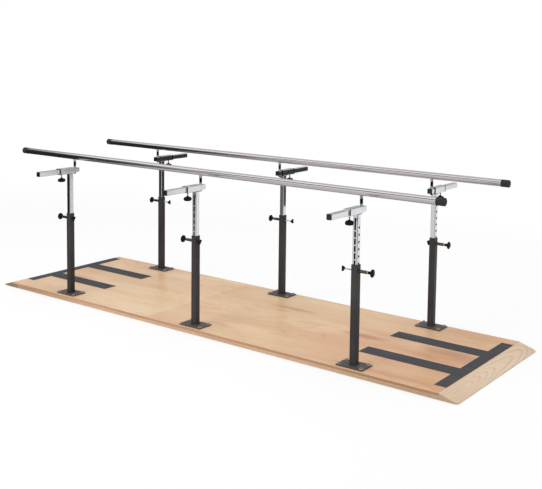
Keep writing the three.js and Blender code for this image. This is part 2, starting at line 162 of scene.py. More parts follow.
class Graph:
    """The node tree of one material, or of the world."""

    def __init__(self, owner: bpy.types.Material | bpy.types.World) -> None:
        """Starts an empty tree.

        Args:
            owner: the material or the world that it belongs to.
        """
        owner.use_nodes = True
        self.owner = owner
        self.tree = owner.node_tree
        self.tree.nodes.clear()

    def node(
        self,
        kind: str,
        inputs: dict[int | str, Any] | None = None,
        output: int | str = 0,
        **settings: Any,
    ) -> Value:
        """Adds a node.

        Args:
            kind: the node's type.
            inputs: values or links for its sockets, by number or name.
            output: the socket that comes back.
            **settings: its properties, which are set first.

        Returns:
            The wrapped output socket.
        """
        made = self.tree.nodes.new(kind)
        for name, value in settings.items():
            setattr(made, name, value)
        for name, value in (inputs or {}).items():
            socket = made.inputs[name]
            if isinstance(value, Value):
                self.tree.links.new(value.socket, socket)
            else:
                socket.default_value = (*value, 1.0) if socket.type == "RGBA" else value
        return Value(self, made.outputs[output] if made.outputs else None)

    @cached_property
    def place(self) -> Value:
        """Where a point lies on the piece, in metres."""
        return self.node("ShaderNodeTexCoord", output="Object")

    def part(self, axis: Axis) -> Value:
        """How far along one axis a point lies."""
        return self.node("ShaderNodeSeparateXYZ", {0: self.place}, axis.value)

    def mark(self, name: str) -> Value:
        """A mark that a piece's mesh carries, from 0 to 1."""
        return self.node("ShaderNodeAttribute", output="Fac", attribute_name=name)

    def ray(self, kind: str) -> Value:
        """1 where light travels as the named kind of ray, and 0 elsewhere."""
        return self.node("ShaderNodeLightPath", output=f"Is {kind} Ray")

    def noise(
        self, steps: Sequence[float], detail: float, roughness: float, distortion: float = 0.0
    ) -> Value:
        """Smooth noise, about 0.5 on average.

        Args:
            steps: how many lumps a metre holds along each axis.
            detail: how many finer layers lie over the first.
            roughness: how strong each finer layer is.
            distortion: how far the lumps are stirred.

        Returns:
            The noise, from 0 to 1.
        """
        vector = self.node("ShaderNodeMapping", {"Vector": self.place, "Scale": steps})
        layers = {"Detail": detail, "Roughness": roughness, "Distortion": distortion}
        return self.node("ShaderNodeTexNoise", {"Vector": vector, "Scale": 1.0, **layers})

    def coated(self, colour: Any, *coats: tuple[Any, Any]) -> Value:
        """Lays coats over a colour.

        Args:
            colour: what lies under them all.
            *coats: pairs of how much of a coat shows, from 0 to 1, and its colour.

        Returns:
            The colour that is seen.
        """
        for share, coat in coats:
            inputs = {0: share, 6: colour, 7: coat}
            colour = self.node("ShaderNodeMix", inputs, 2, data_type="RGBA")
        return colour

    def bump(self, height: Value, depth: float) -> Value:
        """A normal from a height, of which 1 stands for the depth in metres."""
        return self.node("ShaderNodeBump", {"Distance": depth, "Height": height})

    def ended(self, shader: Value) -> bpy.types.Material | bpy.types.World:
        """Ends the tree in its output, and gives back what it belongs to."""
        self.node(f"ShaderNodeOutput{type(self.owner).__name__}", {"Surface": shader})
        return self.owner

    def surface(self, **sockets: Any) -> bpy.types.Material:
        """Ends the tree in a Principled shader, whose inputs have underscores for spaces."""
        inputs = {name.replace("_", " "): value for name, value in sockets.items()}
        return self.ended(self.node("ShaderNodeBsdfPrincipled", inputs))


@dataclass(frozen=True)
class Finish:
    """One finish of the bars: a name and the record's slot that it belongs to."""

    name: str
    slot: str

    def paint(self) -> bpy.types.Material:
        """The finish as a material, made once."""
        made = bpy.data.materials.get(self.name)
        return made or self.mixed(Graph(bpy.data.materials.new(self.name)))

    def mixed(self, graph: Graph) -> bpy.types.Material:
        """Builds the material's nodes.

        Args:
            graph: the material's tree.

        Returns:
            The material.
        """
        raise NotImplementedError


@dataclass(frozen=True)
class Heart:
    """A streak of darker heartwood in the veneer.

    Attributes:
        x, y: its middle on the deck.
        length: half its length along the walkway.
        width: half its width.
        depth: how dark it is, from 0 to 1.
    """

    x: float
    y: float
    length: float
    width: float
    depth: float

    def mask(self, x: Value, y: Value, figure: Value, fibre: Value) -> Value:
        """How much of the streak shows at a point.

        Args:
            x, y: the place on the deck.
            figure: broad noise that bends its outline.
            fibre: fine noise that frays it.

        Returns:
            The share, from 0 to 1.
        """
        far = (x - self.x) / self.length
        off = (y - self.y) / self.width + (figure - 0.5) * 0.9
        reach = (far * far + off * off) ** 0.5 + (fibre - 0.5) * 0.8
        return (1.0 - reach.band(0.15, 1.15)) * self.depth * 0.72


@dataclass(frozen=True)
class VeneerSheet(Finish):
    """Clear coated maple veneer with its grain along the walkway, and plies along its edges."""

    top: float = 0.0
    face_veneer: float = 0.0014
    joint: float = -0.315
    joint_width: float = 0.0006
    brad_pitch: float = 0.60
    brad_start: float = 1.07
    brad_depth: float = 0.0062
    brad_radius: float = 0.0014
    hearts: tuple[Heart, ...] = (
        Heart(0.26, 0.20, 0.20, 0.035, 0.75),
        Heart(0.85, 0.02, 0.17, 0.045, 1.0),
        Heart(1.36, 0.05, 0.20, 0.075, 0.9),
        Heart(1.32, -0.40, 0.26, 0.03, 0.2),
        Heart(-1.30, -0.10, 0.22, 0.06, 0.4),
    )
    pale: Colour = srgb(229, 201, 164)
    straw: Colour = srgb(216, 181, 140)
    amber: Colour = srgb(203, 152, 112)
    rosy: Colour = srgb(196, 139, 100)
    brown: Colour = srgb(168, 110, 76)
    edge: Colour = srgb(194, 150, 115)
    edge_dark: Colour = srgb(164, 118, 86)
    edge_end: Colour = srgb(140, 96, 68)
    brad: Colour = srgb(74, 50, 38)

    def mixed(self, graph: Graph) -> bpy.types.Material:
        """Two leaves of broad figure, rosy heartwood, fine pores and a plied edge.

        Args:
            graph: the material's tree.

        Returns:
            The material.
        """
        depth = self.top - graph.part(Axis.Z)
        fibre = graph.noise((9.0, 260.0, 260.0), 3.0, 0.6)
        fleck = graph.noise((60.0, 420.0, 420.0), 2.0, 0.5)
        edges = depth.band(self.face_veneer, self.face_veneer * 1.6)
        return graph.surface(
            Base_Color=graph.coated(self._face(graph, fibre, fleck), (edges, self._edge(graph, depth))),
            Roughness=fibre * 0.12 + 0.34,
            Coat_Weight=0.18,
            Coat_Roughness=0.22,
            Normal=graph.bump(fibre * 0.6 + fleck * 0.4, 0.00008),
        )

    def _face(self, graph: Graph, fibre: Value, fleck: Value) -> Value:
        """The colour of the face.

        Args:
            graph: the material's tree.
            fibre: fine noise along the grain.
            fleck: the pores.

        Returns:
            The colour.
        """
        x = graph.part(Axis.X)
        y = graph.part(Axis.Y)
        right_leaf = x.over(self.joint)
        blush = graph.noise((1.7, 3.4, 3.4), 3.0, 0.55)
        warm = right_leaf * (0.3 - x.band(self.joint, 0.25) * 0.18) + x.band(0.3, 1.2) * 0.44
        warm = warm + (0.0 - x).band(0.5, 1.5) * 0.26 + blush.band(0.46, 0.62) * 0.22
        seam = 1.0 - abs(x - self.joint).band(self.joint_width, self.joint_width * 3)
        figure = graph.noise((0.9, 5.5, 5.5), 4.0, 0.55, 0.9)
        contours = graph.noise((0.55, 3.2, 3.2), 2.0, 0.5, 1.6)
        lines = abs((contours * 14.0) % 1.0 - 0.5) * 2.0
        heart = graph.noise((1.1, 6.0, 6.0), 3.0, 0.55, 0.4)
        return graph.coated(
            self.pale,
            (figure.band(0.3, 0.72), self.straw),
            (warm * (heart * 0.9 + 0.55), self.amber),
            (lines.band(0.72, 1.0) * 0.3, self.rosy),
            (heart.band(0.6, 0.74) * (right_leaf * 0.35 + 0.3), self.rosy),
            *((spot.mask(x, y, figure, fibre), self.brown) for spot in self.hearts),
            (fibre.band(0.45, 0.8) * 0.26, self.rosy),
            (fleck.band(0.62, 0.78) * 0.16, self.edge),
            (seam * 0.5, self.brown),
        )

    def _edge(self, graph: Graph, depth: Value) -> Value:
        """The colour of the edges, with the plies and a row of brad holes.

        Args:
            graph: the material's tree.
            depth: how far below the face a point lies.

        Returns:
            The colour.
        """
        x = graph.part(Axis.X)
        plies = graph.noise((3.0, 3.0, 420.0), 1.0, 0.4).band(0.42, 0.6) * 0.7
        streak = graph.noise((14.0, 14.0, 900.0), 3.0, 0.6).band(0.5, 0.75) * 0.4
        along = (x - self.brad_start + self.brad_pitch / 2) % self.brad_pitch - self.brad_pitch / 2
        down = depth - self.brad_depth
        brad = 1.0 - ((along * along + down * down) ** 0.5).over(self.brad_radius)
        return graph.coated(
            self.edge,
            (plies + streak, self.edge_dark),
            (x.band(0.3, 1.3) * 0.55, self.edge_end),
            (brad * 0.85, self.brad),
        )


@dataclass(frozen=True)
class PlyCore(Finish):
    """The plywood under the top sheet, whose edges show pale and brown plies."""

    ply: float = 0.0030
    crown_height: float = 0.0168
    crown_fade: float = 0.0006
    split_height: float = 0.0102
    split_half: float = 0.0006
    split_fade: float = 0.0014
    pale: Colour = srgb(228, 200, 167)
    brown: Colour = srgb(184, 143, 109)
    glue: Colour = srgb(134, 96, 68)
    # darker tone towards both ends of the walkway
    weathered: Colour = srgb(132, 108, 76)
    crown: Colour = srgb(194, 151, 117)

    def mixed(self, graph: Graph) -> bpy.types.Material:
        """Plies stacked up the edge, with torn end grain in every other one.

        Args:
            graph: the material's tree.

        Returns:
            The material.
        """
        x = graph.part(Axis.X)
        height = graph.part(Axis.Z)
        even = ((height / self.ply) % 2.0).over(1.0)
        line = abs((height / self.ply) % 1.0 - 0.5).band(0.42, 0.5)
        grain = graph.noise((22.0, 22.0, 500.0), 4.0, 0.62)
        torn = graph.noise((260.0, 260.0, 520.0), 3.0, 0.6)
        patch = graph.noise((2.4, 6.0, 60.0), 3.0, 0.55)
        crown = height.band(self.crown_height - self.crown_fade, self.crown_height)
        split = 1.0 - abs(height - self.split_height).band(self.split_half, self.split_fade)
        # Darker towards both ends of the walkway, the left end most.
        ends = x.band(0.5, 1.45) * 0.34 + (0.0 - x).band(0.7, 1.5) * 0.6
        colour = graph.coated(
            self.pale,
            (even * 0.75, self.brown),
            (grain.band(0.5, 0.78) * 0.5, self.brown),
            (torn.band(0.56, 0.72) * even * 0.6, self.glue),
            (patch.band(0.6, 0.75) * 0.4, self.brown),
            (line * 0.55, self.glue),
            (crown * 0.85, self.crown),
            (split * (patch * 1.1 + 0.3), self.glue),
            (ends * (patch * 0.8 + 0.5), self.weathered),
        )
        relief = graph.bump(torn * even + grain * 0.4, 0.00025)
        return graph.surface(Base_Color=colour, Roughness=grain * 0.15 + 0.55, Normal=relief)


@dataclass(frozen=True)
class RampMaple(Finish):
    """Pale solid maple, its cathedral grain running across the walkway."""

    pale: Colour = srgb(221, 198, 171)
    cream: Colour = srgb(211, 184, 153)
    line: Colour = srgb(178, 141, 105)
    # darker upright faces: partly sawn end grain, partly painted shade on the sides
    sawn: Colour = srgb(164, 136, 105)
    heart_offset: float = 0.36
    heart_line: float = 1.592

    def mixed(self, graph: Graph) -> bpy.types.Material:
        """Growth rings cut at a shallow angle, in long pointed arches round an eye.

        Args:
            graph: the material's tree.

        Returns:
            The material.
        """
        sway = graph.noise((6.0, 2.0, 6.0), 2.0, 0.45) - 0.5
        drift = graph.noise((1.2, 1.6, 1.2), 2.0, 0.5) - 0.5
        along = (graph.part(Axis.Y) + self.heart_offset + drift * 0.3) * 0.55
        across = (abs(graph.part(Axis.X)) - self.heart_line) * 5.0
        ring = (along * along + across * across) ** 0.5 + sway * 0.3
        rings = (ring * 17.0) % 1.0
        late = rings.band(0.5, 0.97) * (1.0 - rings.band(0.975, 1.0))
        fibre = graph.noise((240.0, 8.0, 240.0), 3.0, 0.6)
        fleck = graph.noise((420.0, 70.0, 420.0), 2.0, 0.5)
        blush = graph.noise((4.0, 1.6, 4.0), 3.0, 0.5)
        colour = graph.coated(
            self.pale,
            (blush.band(0.35, 0.7), self.cream),
            (late * 0.4, self.line),
            (fibre.band(0.45, 0.8) * 0.3, self.line),
            (fleck.band(0.64, 0.8) * 0.25, self.line),
            # Upright faces are painted darker: partly their sawn end grain, partly painted shade on the
            # sides.
            (graph.mark("side") * 0.72, self.sawn),
        )
        return graph.surface(
            Base_Color=colour,
            Roughness=fibre * 0.12 + 0.38,
            Coat_Weight=0.12,
            Coat_Roughness=0.3,
            Normal=graph.bump(fibre * 0.7 + late * 0.3, 0.00008),
        )


@dataclass(frozen=True)
class GritTape(Finish):
    """Charcoal grit tape with dark and glinting grains."""

    base: Colour = srgb(71, 71, 75)
    dark: Colour = srgb(51, 51, 55)
    glint: Colour = srgb(112, 112, 119)

    def mixed(self, graph: Graph) -> bpy.types.Material:
        """Coarse grains with a few bright ones, and slight scuffing along the walkway.

        Args:
            graph: the material's tree.

        Returns:
            The material.
        """
        grain = graph.noise((900.0,) * 3, 2.0, 0.7)
        coarse = graph.noise((420.0,) * 3, 2.0, 0.6)
        scuff = graph.noise((5.0, 28.0, 5.0), 4.0, 0.6)
        shiny = grain.band(0.66, 0.74)
        matt = (grain.band(0.35, 0.65), self.base)
        worn = (scuff.band(0.5, 0.8) * 0.25, self.glint)
        colour = graph.coated(self.dark, matt, (shiny, self.glint), worn)
        rough = 0.95 - shiny * 0.3
        relief = graph.bump(grain * 0.6 + coarse * 0.4, 0.0006)
        return graph.surface(Base_Color=colour, Roughness=rough, Normal=relief)


@dataclass(frozen=True)
class PowderCoat(Finish):
    """Charcoal powder coat with a fine orange peel, rubbed a little along its edges."""

    base: Colour = srgb(60, 56, 56)
    deep: Colour = srgb(50, 46, 45)
    rubbed: Colour = srgb(98, 92, 89)
    # painted shade: near black for the inside of the tube and its holes
    bare: Colour = srgb(24, 22, 21)

    def mixed(self, graph: Graph) -> bpy.types.Material:
        """Fine peel and a soft mottle.

        Args:
            graph: the material's tree.

        Returns:
            The material.
        """
        peel = graph.noise((900.0,) * 3, 2.0, 0.5)
        mottle = graph.noise((9.0, 9.0, 4.0), 4.0, 0.55)
        chips = graph.noise((140.0,) * 3, 4.0, 0.7)
        colour = graph.coated(
            self.deep,
            (mottle.band(0.35, 0.68), self.base),
            (peel.band(0.6, 0.8) * 0.12, self.rubbed),
            (graph.mark("edge") * chips.band(0.45, 0.7) * 0.55, self.rubbed),
            # painted shade: the inside of the tube and its holes goes near black
            (graph.mark("bore"), self.bare),
        )
        return graph.surface(
            Base_Color=colour,
            Roughness=mottle * 0.12 + 0.42,
            Specular_IOR_Level=0.25,
            Normal=graph.bump(peel, 0.00012),
        )


@dataclass(frozen=True)
class DrawnMetal(Finish):
    """Bright metal with fine streaks along the way that it was drawn or polished."""

    axis: Axis = Axis.Z
    base: Colour = srgb(234, 232, 236)
    shade: Colour = srgb(220, 217, 221)
    # painted shade: near black for the inside of the tube and its holes
    bare: Colour = srgb(20, 18, 17)
    rough: float = 0.15
    rough_spread: float = 0.06
    streaks: float = 420.0
    streak_length: float = 60.0
    depth: float = 0.000004

    def mixed(self, graph: Graph) -> bpy.types.Material:
        """Streaks in the colour, the roughness and the relief, and faint handling marks.

        Args:
            graph: the material's tree.

        Returns:
            The material.
        """
        steps = [self.streaks] * 3
        steps[self.axis.value] = self.streaks / self.streak_length
        streak = graph.noise(steps, 3.0, 0.65)
        cloud = graph.noise((22.0,) * 3, 4.0, 0.6)
        # The bore mark paints shade inside the tube and its holes: near black, not metallic and rough.
        bore = graph.mark("bore")
        shaded = (cloud.band(0.55, 0.8) * 0.35, self.shade)
        colour = graph.coated(self.base, (streak.band(0.3, 0.75), self.shade), shaded, (bore, self.bare))
        handled = (cloud + graph.mark("edge")) * (self.rough_spread * 0.5)
        return graph.surface(
            Base_Color=colour,
            Metallic=1.0 - bore,
            Roughness=streak * self.rough_spread + handled + self.rough + bore * 0.6,
            Normal=graph.bump(streak, self.depth),
        )


@dataclass(frozen=True)
class PlatedSteel(Finish):
    """Zinc or brass plated fasteners, slightly blotched by the bath."""

    base: Colour = srgb(196, 204, 216)
    tint: Colour = srgb(168, 178, 196)
    rough: float = 0.26
    metal: float = 1.0

    def mixed(self, graph: Graph) -> bpy.types.Material:
        """Blotches of the plating and fine turning marks.

        Args:
            graph: the material's tree.

        Returns:
            The material.
        """
        blotch = graph.noise((160.0,) * 3, 3.0, 0.6)
        marks = graph.noise((1500.0,) * 3, 2.0, 0.6)
        return graph.surface(
            Base_Color=graph.coated(self.base, (blotch.band(0.3, 0.7), self.tint)),
            Metallic=self.metal,
            Roughness=blotch * 0.16 + self.rough,
            Normal=graph.bump(marks, 0.00002),
        )


@dataclass(frozen=True)
class MouldedPlastic(Finish):
    """Black moulded plastic or rubber with a fine spark eroded skin."""

    base: Colour = srgb(11, 12, 17)
    worn: Colour = srgb(34, 34, 41)
    rough: float = 0.32
    shine: float = 0.14
    skin: float = 1400.0
    depth: float = 0.00004

    def mixed(self, graph: Graph) -> bpy.types.Material:
        """Skin texture, and a greyer sheen where hands rub the edges.

        Args:
            graph: the material's tree.

        Returns:
            The material.
        """
        skin = graph.noise((self.skin,) * 3, 2.0, 0.55)
        haze = graph.noise((55.0,) * 3, 4.0, 0.6)
        hazy = (haze.band(0.45, 0.8) * 0.3, self.worn)
        rubbed = (graph.mark("edge") * haze.band(0.3, 0.7) * 0.5, self.worn)
        return graph.surface(
            Base_Color=graph.coated(self.base, hazy, rubbed),
            Roughness=haze * 0.16 + self.rough,
            Specular_IOR_Level=self.shine,
            Normal=graph.bump(skin, self.depth),
        )


@dataclass
class Finishes:
    """Every finish of the bars."""

    deck_top: float

    def __post_init__(self) -> None:
        """Names each finish and the slot of the record that it belongs to."""
        self.sheet = VeneerSheet("maple_veneer", "deck_sheet", top=self.deck_top)
        self.core = PlyCore("plywood_edge", "plywood_core")
        self.ramp = RampMaple("solid_maple", "ramp_wood")
        # The left ramp takes darker tones than the right: painted shade on its slope.
        left_ramp_shade = srgb(194, 166, 133), srgb(180, 152, 119), srgb(146, 113, 82), srgb(124, 98, 66)
        self.left_ramp = RampMaple("aged_maple", "ramp_wood", *left_ramp_shade)
        self.tape = GritTape("grit_tape", "grip_tape")
        self.post = PowderCoat("charcoal_powder_coat", "post_coat")
        # The base plate's tones are lighter than the post's coat: a painted sheen on its upturned face.
        lit_plate_tones = srgb(84, 79, 78), srgb(70, 65, 64), srgb(122, 116, 113)
        self.plate = PowderCoat("charcoal_plate_coat", "post_coat", *lit_plate_tones)
        self.weld = PowderCoat("coated_weld", "post_coat", srgb(66, 61, 60))
        self.mast = DrawnMetal("bright_mast_tube", "bright_tube", Axis.Z)
        self.arm = DrawnMetal("bright_arm_tube", "bright_tube", Axis.Y)
        heated = srgb(188, 176, 164), srgb(146, 120, 98)
        self.bead = DrawnMetal("bright_weld", "bright_tube", Axis.Z, *heated, rough=0.3)
        chrome = srgb(207, 203, 206), srgb(194, 189, 193)
        self.rail = DrawnMetal(
            "polished_rail", "rail_chrome", Axis.X, *chrome, rough=0.06, depth=0.00001
        )
        self.cap = MouldedPlastic(
            "cap_rubber", "cap_rubber", srgb(9, 9, 10), srgb(26, 26, 29), 0.3, 0.07, skin=900.0
        )
        self.knob = MouldedPlastic("black_knob_plastic", "black_knob")
        self.nylon = MouldedPlastic(
            "black_nylon", "black_knob", srgb(15, 15, 17), rough=0.2, shine=0.5
        )
        self.rubber = MouldedPlastic(
            "black_spacer", "black_knob", srgb(8, 8, 9), rough=0.4, shine=0.08
        )
        self.scale = MouldedPlastic(
            "printed_scale", "black_knob", srgb(10, 10, 12), rough=0.5, shine=0.05, depth=0.00001
        )
        self.zinc = PlatedSteel("blue_zinc", "zinc_steel")
        dull, nickel = (srgb(196, 206, 222), srgb(160, 170, 188)), (srgb(222, 224, 232), srgb(196, 198, 210))
        self.washer = PlatedSteel("washer_zinc", "zinc_steel", *dull, metal=0.35)
        self.bright_nut = PlatedSteel("bright_nickel", "zinc_steel", *nickel, rough=0.14)
        self.acorn = PlatedSteel("dark_nickel", "zinc_steel", srgb(58, 58, 55), srgb(34, 34, 32))
        self.barrel = PlatedSteel("blackened_steel", "post_coat", srgb(104, 102, 104), srgb(82, 80, 81))
        self.spring = PlatedSteel("spring_wire", "spring_steel", srgb(168, 172, 176), srgb(140, 142, 146))
        self.brass = PlatedSteel("brass_bush", "brass", srgb(222, 176, 92), srgb(198, 148, 66))
        yellow = srgb(196, 156, 104), srgb(158, 104, 74)
        self.bolt = PlatedSteel("yellow_bolt", "brass", *yellow, metal=0.7)


def in_scene(name: str, data: bpy.types.ID) -> bpy.types.Object:
    """Makes an object of a mesh, a curve, a lamp or a camera, and puts it in the scene.

    Args:
        name: the object's name.
        data: what it shows.

    Returns:
        The object.
    """
    made = bpy.data.objects.new(name, data)
    bpy.context.scene.collection.objects.link(made)
    return made


@dataclass
class Workpiece:
    """A mesh on the bench, shaped by operators until it is a piece."""

    mesh: bmesh.types.BMesh = field(default_factory=bmesh.new)

    @classmethod
    def block(cls, low: Sequence[float], high: Sequence[float]) -> Workpiece:
        """A box between two corners.

        Args:
            low, high: its lowest and its highest corner.

        Returns:
            The box.
        """
        work = cls()
        low, high = Vector(low), Vector(high)
        bmesh.ops.create_cube(work.mesh, size=1.0)
        bmesh.ops.scale(work.mesh, vec=high - low, verts=work.mesh.verts[:])
        return work.moved((low + high) / 2)

    @classmethod
    def turned(cls, profile: Points, steps: int = 48, ring: bool = False) -> Workpiece:
        """Turns a profile round the X axis.

        Args:
            profile: pairs of place along the axis and radius.
            steps: how many facets a turn has.
            ring: whether the profile closes on itself.

        Returns:
            The turned piece.
        """
        work = cls()
        points = [work.mesh.verts.new((along, 0.0, radius)) for along, radius in profile]
        ends = points[1:] + points[:1] if ring else points[1:]
        edges = [work.mesh.edges.new(pair) for pair in zip(points, ends)]
        bmesh.ops.spin(
            work.mesh, geom=points + edges, cent=(0, 0, 0), axis=(1, 0, 0), angle=FULL_TURN,
            steps=steps, use_merge=True,
        )
        return work.closed()

    @classmethod
    def bar(cls, start: float, end: float, radius: float, steps: int = 32) -> Workpiece:
        """A plain bar on the X axis, for cutting with."""
        return cls.turned([(start, 0), (start, radius), (end, radius), (end, 0)], steps)

    @classmethod
    def lobed(cls, rings: Points, lobes: int, points: int) -> Workpiece:
        """Stacks lobed rings up the Z axis.

        Args:
            rings: for each ring its height, its radius and how deep its hollows are.
            lobes: how many lobes the rings have.
            points: how many points each ring has.

        Returns:
            The stacked piece.
        """
        work = cls()
        bmesh.ops.create_circle(work.mesh, cap_ends=True, segments=points, radius=1.0)
        work.mesh.faces.ensure_lookup_table()
        cap = work.mesh.faces[0]
        for number, (height, radius, dip) in enumerate(rings):
            if number:
                out = bmesh.ops.extrude_face_region(work.mesh, geom=[cap])
                cap = next(g for g in out["geom"] if isinstance(g, bmesh.types.BMFace))
            for vert in cap.verts:
                angle = math.atan2(vert.co.y, vert.co.x)
                reach = radius * (1 - dip * (1 - math.cos(lobes * angle)) / 2)
                vert.co = (reach * math.cos(angle), reach * math.sin(angle), height)
        return work.closed()

    @classmethod
    def square_tube(
        cls, half: float, wall: float, corner: float, start: float, end: float
    ) -> Workpiece:
        """A square tube up the Z axis with rounded corners and open ends.

        Args:
            half: half the outer width.
            wall: the thickness of the wall.
            corner: the outer corner radius, which is more than the wall.
            start, end: the heights of its ends.

        Returns:
            The tube.
        """
        work = cls.block((-half, -half, start), (half, half, end))
        work.rounded(Axis.Z, wall, corner, 5)
        mesh = work.mesh
        lids = [f for f in mesh.faces if abs(f.normal.z) > 0.9]
        bmesh.ops.inset_region(
            mesh, faces=lids, thickness=wall, use_even_offset=True, use_boundary=True
        )
        bmesh.ops.delete(mesh, geom=lids, context="FACES_ONLY")
        bmesh.ops.bridge_loops(mesh, edges=[e for e in mesh.edges if len(e.link_faces) < 2])
        return work.closed()

    @classmethod
    def swept(
        cls, route: Points, radius: float, swells: Sequence[float] = (), cyclic: bool = False
    ) -> Workpiece:
        """A round wire or bead along a route.

        Args:
            route: the points of its middle.
            radius: the radius of the wire.
            swells: the radius at each point, as a share of radius.
            cyclic: whether the route closes on itself.

        Returns:
            The wire.
        """
        curve = bpy.data.curves.new("route", "CURVE")
        curve.dimensions = "3D"
        curve.bevel_depth = radius
        curve.bevel_resolution = 2
        curve.use_fill_caps = not cyclic
        spline = curve.splines.new("POLY")
        spline.points.add(len(route) - 1)
        spline.use_cyclic_u = cyclic
        for number, point in enumerate(route):
            spline.points[number].co = (*point, 1.0)
            if swells:
                spline.points[number].radius = swells[number]
        return cls().taken_from(in_scene("route", curve)).closed()

    @classmethod
    def weld(cls, half: float, corner: float, height: float, radius: float, pitch: float) -> Workpiece:
        """A rippled weld bead round a square tube.

        Args:
            half: half the width of the square that the bead's middle follows.
            corner: the radius of the square's corners.
            height: the height of the bead's middle.
            radius: the bead's radius.
            pitch: the length of one ripple.

        Returns:
            The bead.
        """
        per_ripple, ripple = 4, 0.14
        middle = half - corner
        run, arc = 2 * middle, corner * QUARTER
        perimeter = 4 * (run + arc)
        steps = round(perimeter / pitch) * per_ripple
        route, swells = [], []
        for step in range(steps):
            quarter, rest = divmod(perimeter * step / steps, run + arc)
            angle = max(rest - run, 0.0) / corner
            reach = rest - run / 2 if rest < run else middle + corner * math.sin(angle)
            point = Vector((middle + corner * math.cos(angle), reach, height))
            point.rotate(Matrix.Rotation(quarter * QUARTER, 3, "Z"))
            route.append(point)
            swells.append(1 + ripple * math.cos(FULL_TURN * step / per_ripple))
        return cls.swept(route, radius, swells, cyclic=True)

    @classmethod
    def copied(cls, node: str) -> Workpiece:
        """A merged copy of a CAD node, with each flat face whole.

        Args:
            node: the node's name.

        Returns:
            The copy.
        """
        work = cls()
        mesh = work.mesh
        mesh.from_mesh(bpy.data.objects[node].data)
        bmesh.ops.remove_doubles(mesh, verts=mesh.verts[:], dist=MERGE_DISTANCE)
        bmesh.ops.dissolve_limit(
            mesh, angle_limit=FLAT_ANGLE, verts=mesh.verts[:], edges=mesh.edges[:]
        )
        return work

    def taken_from(self, source: bpy.types.Object) -> Workpiece:
        """Takes the finished mesh of a passing object, and clears the object away.

        Args:
            source: the object.

        Returns:
            The workpiece.
        """
        graph = bpy.context.evaluated_depsgraph_get()
        result = bpy.data.meshes.new_from_object(source.evaluated_get(graph))
        self.mesh.clear()
        self.mesh.from_mesh(result)
        bpy.data.meshes.remove(result)
        bpy.data.objects.remove(source)
        return self

    def shown(self, name: str) -> bpy.types.Object:
        """Puts the workpiece in the scene as an object.

        Args:
            name: the object's name.

        Returns:
            The object.
        """
        mesh = bpy.data.meshes.new(name)
        self.mesh.to_mesh(mesh)
        return in_scene(name, mesh)

    def closed(self) -> Workpiece:
        """Merges doubled points and points every face outwards.

        Returns:
            The workpiece.
        """
        bmesh.ops.remove_doubles(self.mesh, verts=self.mesh.verts[:], dist=MERGE_DISTANCE)
        bmesh.ops.recalc_face_normals(self.mesh, faces=self.mesh.faces[:])
        return self

    def bevel(
        self, edges: Iterable[bmesh.types.BMEdge], width: float, segments: int
    ) -> list[bmesh.types.BMFace]:
        """Rounds edges.

        Args:
            edges: the edges to round.
            width: how wide the rounding is on each side of the edge.
            segments: how many facets it has.

        Returns:
            The new faces.
        """
        return bmesh.ops.bevel(
            self.mesh, geom=list(edges), offset=width, offset_type="OFFSET", segments=segments,
            profile=0.5, affect="EDGES", material=-1, clamp_overlap=True,
        )["faces"]

    def rounded(self, axis: Axis, longer: float, width: float, segments: int) -> Workpiece:
        """Rounds the edges that run along an axis and are longer than a length.

        Args:
            axis: the axis.
            longer: the length.
            width: how wide the rounding is on each side of an edge.
            segments: how many facets it has.

        Returns:
            The workpiece.
        """
        runs = {e: e.verts[0].co - e.verts[1].co for e in self.mesh.edges}
        self.bevel([e for e, run in runs.items() if abs(run[axis.value]) > longer], width, segments)
        return self

    def eased(self, width: float, segments: int = 2, sharper: float = 60.0) -> Workpiece:
        """Rounds every edge sharper than an angle, and marks the roundings for wear.

        Args:
            width: how wide the rounding is on each side of an edge.
            segments: how many facets it has.
            sharper: the least angle between two faces, in degrees.

        Returns:
            The workpiece.
        """
        least = math.radians(sharper)
        inner = [e for e in self.mesh.edges if len(e.link_faces) == 2]
        rounding = set(self.bevel([e for e in inner if e.calc_face_angle(0.0) > least], width, segments))
        layers = self.mesh.verts.layers.float
        wear = layers.get("edge") or layers.new("edge")
        for vert in self.mesh.verts:
            if vert.link_faces and all(f in rounding for f in vert.link_faces):
                vert[wear] = 1.0
        return self

    def lined(
        self, half: float, wall: float, corner: float, axis: Axis, height: float = 0.0
    ) -> Workpiece:
        """Marks the inside of a square tube and of its holes, where the finishes paint shade, near black
        over the bare metal.

        Args:
            half: half the tube's outer width.
            wall: the thickness of its wall.
            corner: its outer corner radius.
            axis: the way that the tube runs.
            height: the height of a level tube's middle.

        Returns:
            The workpiece.
        """
        bore = self.mesh.faces.layers.float.new("bore")
        across = [n for n in range(3) if n != axis.value]
        along = [vert.co[axis.value] for vert in self.mesh.verts]
        first, last = min(along) + wall / 2, max(along) - wall / 2
        for face in self.mesh.faces:
            centre = face.calc_center_median()
            off = centre - Vector((0, 0, height))
            past = [abs(off[n]) - (half - corner) for n in across]
            reach = math.hypot(*past) if min(past) > 0 else max(past)
            if corner - reach > wall / 6 and first < centre[axis.value] < last:
                face[bore] = 1.0
        return self

    def fluted(self, start: float, inside: float, ribs: int, depth: float) -> Workpiece:
        """Cuts shallow flutes along the outside of a piece turned on the X axis.

        Args:
            start: where along the axis the flutes start.
            inside: the radius up to which the piece stays round.
            ribs: how many ribs are left between the flutes.
            depth: how deep a flute is.

        Returns:
            The workpiece.
        """
        for vert in self.mesh.verts:
            reach = math.hypot(vert.co.y, vert.co.z)
            if vert.co.x > start and reach > inside:
                turn = math.atan2(vert.co.z, vert.co.y)
                share = 1 - depth * (1 - math.cos(ribs * turn)) / 2 / reach
                vert.co.y *= share
                vert.co.z *= share
        return self

